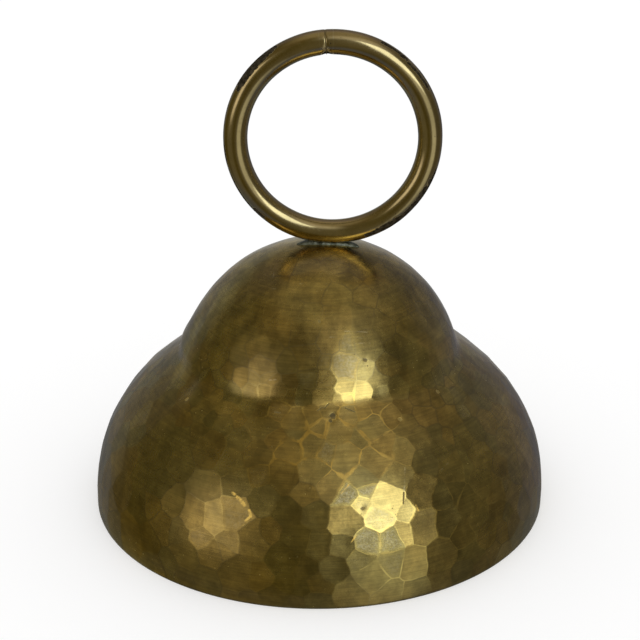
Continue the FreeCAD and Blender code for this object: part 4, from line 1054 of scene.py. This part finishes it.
assign(NODES["ring_joint_braze"], plain_metal("braze_filler", (0.34, 0.26, 0.11), (0.46, 0.36, 0.16), 0.4, 0.15, 3.0, 0.5,
                                              dark=(0.08, 0.06, 0.04)))
solder = plain_metal("grey_green_solder", (0.12, 0.13, 0.085), (0.36, 0.38, 0.28), 0.40, 0.2, 2.2, 0.6,
                     metallic=0.8, dark=(0.035, 0.038, 0.026), dark_amount=0.7)
for n in ("staple_solder_left", "staple_solder_right"):
    assign(NODES[n], solder)
bead = solder_bead()
assign(bead, solder)
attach(bead, "bell")
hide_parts("ring_seat_solder")
assign(NODES["clapper_staple"], plain_metal("staple_wire", (0.5, 0.36, 0.14), (0.3, 0.2, 0.08), 0.35, 0.15, 5.0, 0.4,
                                            dark=(0.08, 0.05, 0.03)))
iron = plain_metal("oxidised_iron", (0.13, 0.105, 0.085), (0.22, 0.20, 0.18), 0.42, 0.22, 4.0, 0.6,
                   dark=(0.12, 0.045, 0.02), dark_amount=0.55)
assign(NODES["clapper_link"], iron)
assign(NODES["clapper_rod"], iron)
turned = plain_metal("dull_turned_brass", (0.60, 0.44, 0.17), (0.40, 0.28, 0.10), 0.28, 0.15, 9.0, 0.35,
                     dark=(0.16, 0.10, 0.04), dark_amount=0.4)
ball_lo, ball_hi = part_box("clapper_ball")


def ball_material(mid):
    """Turned brass, dulled, and rubbed bright in a band where it meets the wall."""
    t = Tree("turned_ball_with_struck_band")
    large, small, grain = t.noise(9, 4, 0.6), t.noise(1.8, 4, 0.65), t.noise(0.6, 3, 0.6)
    lathe = t.noise(0.9, 2, 0.6, vec=t.scaled(0.02, 0.02, 1.0))
    parts = t.nt.nodes.new("ShaderNodeSeparateXYZ")
    t.link(t.pos, parts.inputs[0])
    off = t.math("ABSOLUTE", t.sub(parts.outputs[2], mid))
    band = t.remap(t.add(off, t.mul(t.sub(large, 0.5), 0.006)), 0.0036, 0.0018)
    colour = t.mix(t.remap(large, 0.36, 0.66), rgb(0.58, 0.42, 0.16), rgb(0.36, 0.25, 0.09))
    colour = t.mix(t.mul(t.remap(small, 0.48, 0.68), 0.45), colour, rgb(0.14, 0.09, 0.035))
    colour = t.mix(t.mul(band, 0.8), colour, rgb(0.86, 0.66, 0.28))
    t.put(t.bsdf.inputs["Base Color"], t.gain(colour, t.remap(lathe, 0.3, 0.7, 0.92, 1.08)))
    t.put(t.bsdf.inputs["Metallic"], 1.0)
    t.put(t.bsdf.inputs["Roughness"], t.sub(t.add(0.30, t.mul(t.remap(small, 0.35, 0.7), 0.14)), t.mul(band, 0.08)))
    h = t.add(t.mul(grain, 0.35), t.add(t.mul(small, 0.6), t.mul(lathe, 0.5)))
    t.link(t.bump(h, 0.35, 0.10), t.bsdf.inputs["Normal"])
    return t.mat


assign(NODES["clapper_ball"], ball_material((ball_lo.z + ball_hi.z) / 2))
assign(NODES["clapper_washer"], turned)


# ------------------------------------------------------------------ floor, light and camera
def stage_floor():
    me = bpy.data.meshes.new("floor")
    s = 6.0
    me.from_pydata([(-s, -s, 0), (s, -s, 0), (s, s, 0), (-s, s, 0)], [], [(0, 1, 2, 3)])
    ob = bpy.data.objects.new("floor", me)
    bpy.context.scene.collection.objects.link(ob)
    mat = bpy.data.materials.new("pale_floor")
    mat.use_nodes = True
    nt = mat.node_tree
    nt.nodes.clear()
    out = nt.nodes.new("ShaderNodeOutputMaterial")
    dif = nt.nodes.new("ShaderNodeBsdfDiffuse")
    dif.inputs[0].default_value = (0.62, 0.62, 0.62, 1)
    em = nt.nodes.new("ShaderNodeEmission")
    em.inputs[0].default_value = (1, 1, 1, 1)
    em.inputs[1].default_value = 0.40
    addn = nt.nodes.new("ShaderNodeAddShader")
    nt.links.new(dif.outputs[0], addn.inputs[0])
    nt.links.new(em.outputs[0], addn.inputs[1])
    # seen from below, the floor lets the eye through to the bell's mouth
    under = nt.nodes.new("ShaderNodeNewGeometry")
    clear = nt.nodes.new("ShaderNodeBsdfTransparent")
    side = nt.nodes.new("ShaderNodeMixShader")
    nt.links.new(under.outputs["Backfacing"], side.inputs[0])
    nt.links.new(addn.outputs[0], side.inputs[1])
    nt.links.new(clear.outputs[0], side.inputs[2])
    nt.links.new(side.outputs[0], out.inputs[0])
    me.materials.append(mat)
    ob.visible_glossy = False
    return ob


stage_floor()

world = bpy.data.worlds.new("studio")
bpy.context.scene.world = world
world.use_nodes = True
wn = world.node_tree
wn.nodes.clear()


def wmath(op, a, b=0.0, clamp=False):
    n = wn.nodes.new("ShaderNodeMath")
    n.operation = op
    n.use_clamp = clamp
    for s, v in ((n.inputs[0], a), (n.inputs[1], b)):
        if isinstance(v, bpy.types.NodeSocket):
            wn.links.new(v, s)
        else:
            s.default_value = v
    return n.outputs[0]


def wmap(v, a, b, lo=0.0, hi=1.0):
    n = wn.nodes.new("ShaderNodeMapRange")
    n.interpolation_type = "SMOOTHSTEP"
    wn.links.new(v, n.inputs["Value"])
    n.inputs["From Min"].default_value = a
    n.inputs["From Max"].default_value = b
    n.inputs["To Min"].default_value = lo
    n.inputs["To Max"].default_value = hi
    return n.outputs[0]


geo = wn.nodes.new("ShaderNodeTexCoord")
sep = wn.nodes.new("ShaderNodeSeparateXYZ")
wn.links.new(geo.outputs["Generated"], sep.inputs[0])
dx, dy, dz = sep.outputs
azim = wmath("MULTIPLY", wmath("ARCTAN2", dx, wmath("MULTIPLY", dy, -1.0)), 180 / math.pi)
elev = wmath("MULTIPLY", wmath("ARCSINE", dz), 180 / math.pi)

# Soft panels of the studio that the metal reflects. Each runs between two azimuths (0 towards the camera, + to its
# right) and two elevations, with soft edges: az0, az1, el0, el1, soft az, soft el, colour.
LIGHTS = [
    (-180, 180, -120, 150, 0, 1, (0.072, 0.060, 0.018)),          # dim warm room
    (-180, 180, 62, 120, 0, 14, (0.150, 0.139, 0.135)),           # ceiling overhead
    (-75, -20, 40, 66, 16, 12, (0.020, 0.013, 0.010)),
    (-5, 70, 44, 66, 16, 10, (0.240, 0.236, 0.270)),              # paler ceiling, front right
    (70, 130, 40, 64, 20, 12, (0.063, 0.060, 0.090)),
    (130, 230, 35, 66, 22, 14, (0.073, 0.071, 0.150)),
    (-80, -30, -40, 38, 10, 12, (0.046, 0.048, 0.055)),           # round the left window
    (-64, -42, -4, 30, 5, 6, (0.66, 0.63, 0.70)),                 # left window
    (-2, 60, -30, 58, 14, 14, (0.045, 0.048, 0.062)),             # round the right window
    (17, 46, 7, 41, 4, 4, (1.42, 1.60, 1.95)),                    # right window
    (-6, 42, 34, 54, 10, 10, (0.13, 0.14, 0.165)),                 # paler wall over the right window
    (15, 50, -30, 9, 8, 8, (0.10, 0.11, 0.12)),
    (15, 52, -40, 6, 8, 10, (0.27, 0.29, 0.33)),               # its light on the table
    (60, 110, -40, 40, 14, 16, (0.010, 0.015, 0.037)),
    (110, 160, -30, 30, 16, 14, (0.040, 0.056, 0.144)),
    (160, 235, -30, 25, 16, 14, (0.070, 0.092, 0.165)),           # wall behind
    (100, 260, -90, -32, 20, 12, (0.042, 0.058, 0.060)),
    (164, 196, -28, 18, 8, 12, (0.20, 0.21, 0.22)),
    (-180, 180, -120, -38, 0, 14, (0.014, 0.036, 0.130)),         # table
]
glow = None
for az0, az1, el0, el1, sa, se, tint in LIGHTS:
    up = wmath("MULTIPLY", wmap(elev, el0 - se, el0 + se), wmap(elev, el1 + se, el1 - se))
    if az1 - az0 < 360:
        mid, half = (az0 + az1) / 2, (az1 - az0) / 2
        wrap = wn.nodes.new("ShaderNodeMath")
        wrap.operation = "WRAP"
        wn.links.new(wmath("SUBTRACT", azim, mid), wrap.inputs[0])
        wrap.inputs[1].default_value = 180.0
        wrap.inputs[2].default_value = -180.0
        up = wmath("MULTIPLY", up, wmap(wmath("ABSOLUTE", wrap.outputs[0]), half + sa, half - sa))
    sc = wn.nodes.new("ShaderNodeVectorMath")
    sc.operation = "SCALE"
    sc.inputs[0].default_value = tint
    wn.links.new(up, sc.inputs[3])
    if glow is None:
        glow = sc.outputs[0]
    else:
        ad = wn.nodes.new("ShaderNodeVectorMath")
        ad.operation = "ADD"
        wn.links.new(glow, ad.inputs[0])
        wn.links.new(sc.outputs[0], ad.inputs[1])
        glow = ad.outputs[0]
seen = wn.nodes.new("ShaderNodeBackground")
wn.links.new(glow, seen.inputs[0])
seen.inputs[1].default_value = 1.0
white = wn.nodes.new("ShaderNodeBackground")
white.inputs[0].default_value = (1, 1, 1, 1)
white.inputs[1].default_value = 1.0
path = wn.nodes.new("ShaderNodeLightPath")
pick = wn.nodes.new("ShaderNodeMixShader")
wn.links.new(path.outputs["Is Glossy Ray"], pick.inputs[0])
wn.links.new(white.outputs[0], pick.inputs[1])
wn.links.new(seen.outputs[0], pick.inputs[2])
wout = wn.nodes.new("ShaderNodeOutputWorld")
wn.links.new(pick.outputs[0], wout.inputs[0])

cam_data = bpy.data.cameras.new("camera")
cam = bpy.data.objects.new("camera", cam_data)
bpy.context.scene.collection.objects.link(cam)
cam_data.sensor_width = 36.0
cam_data.lens = 1432.0 / 640.0 * 36.0
cam_data.clip_start = 0.01
cam.location = (0.00063, -0.5736, 0.3227)
cam.rotation_euler = (Matrix.Rotation(math.radians(90 - 22.847), 3, "X") @ Matrix.Rotation(math.radians(-0.224), 3, "Z")).to_euler()
bpy.context.scene.camera = cam
bpy.context.scene.view_settings.view_transform = "Standard"
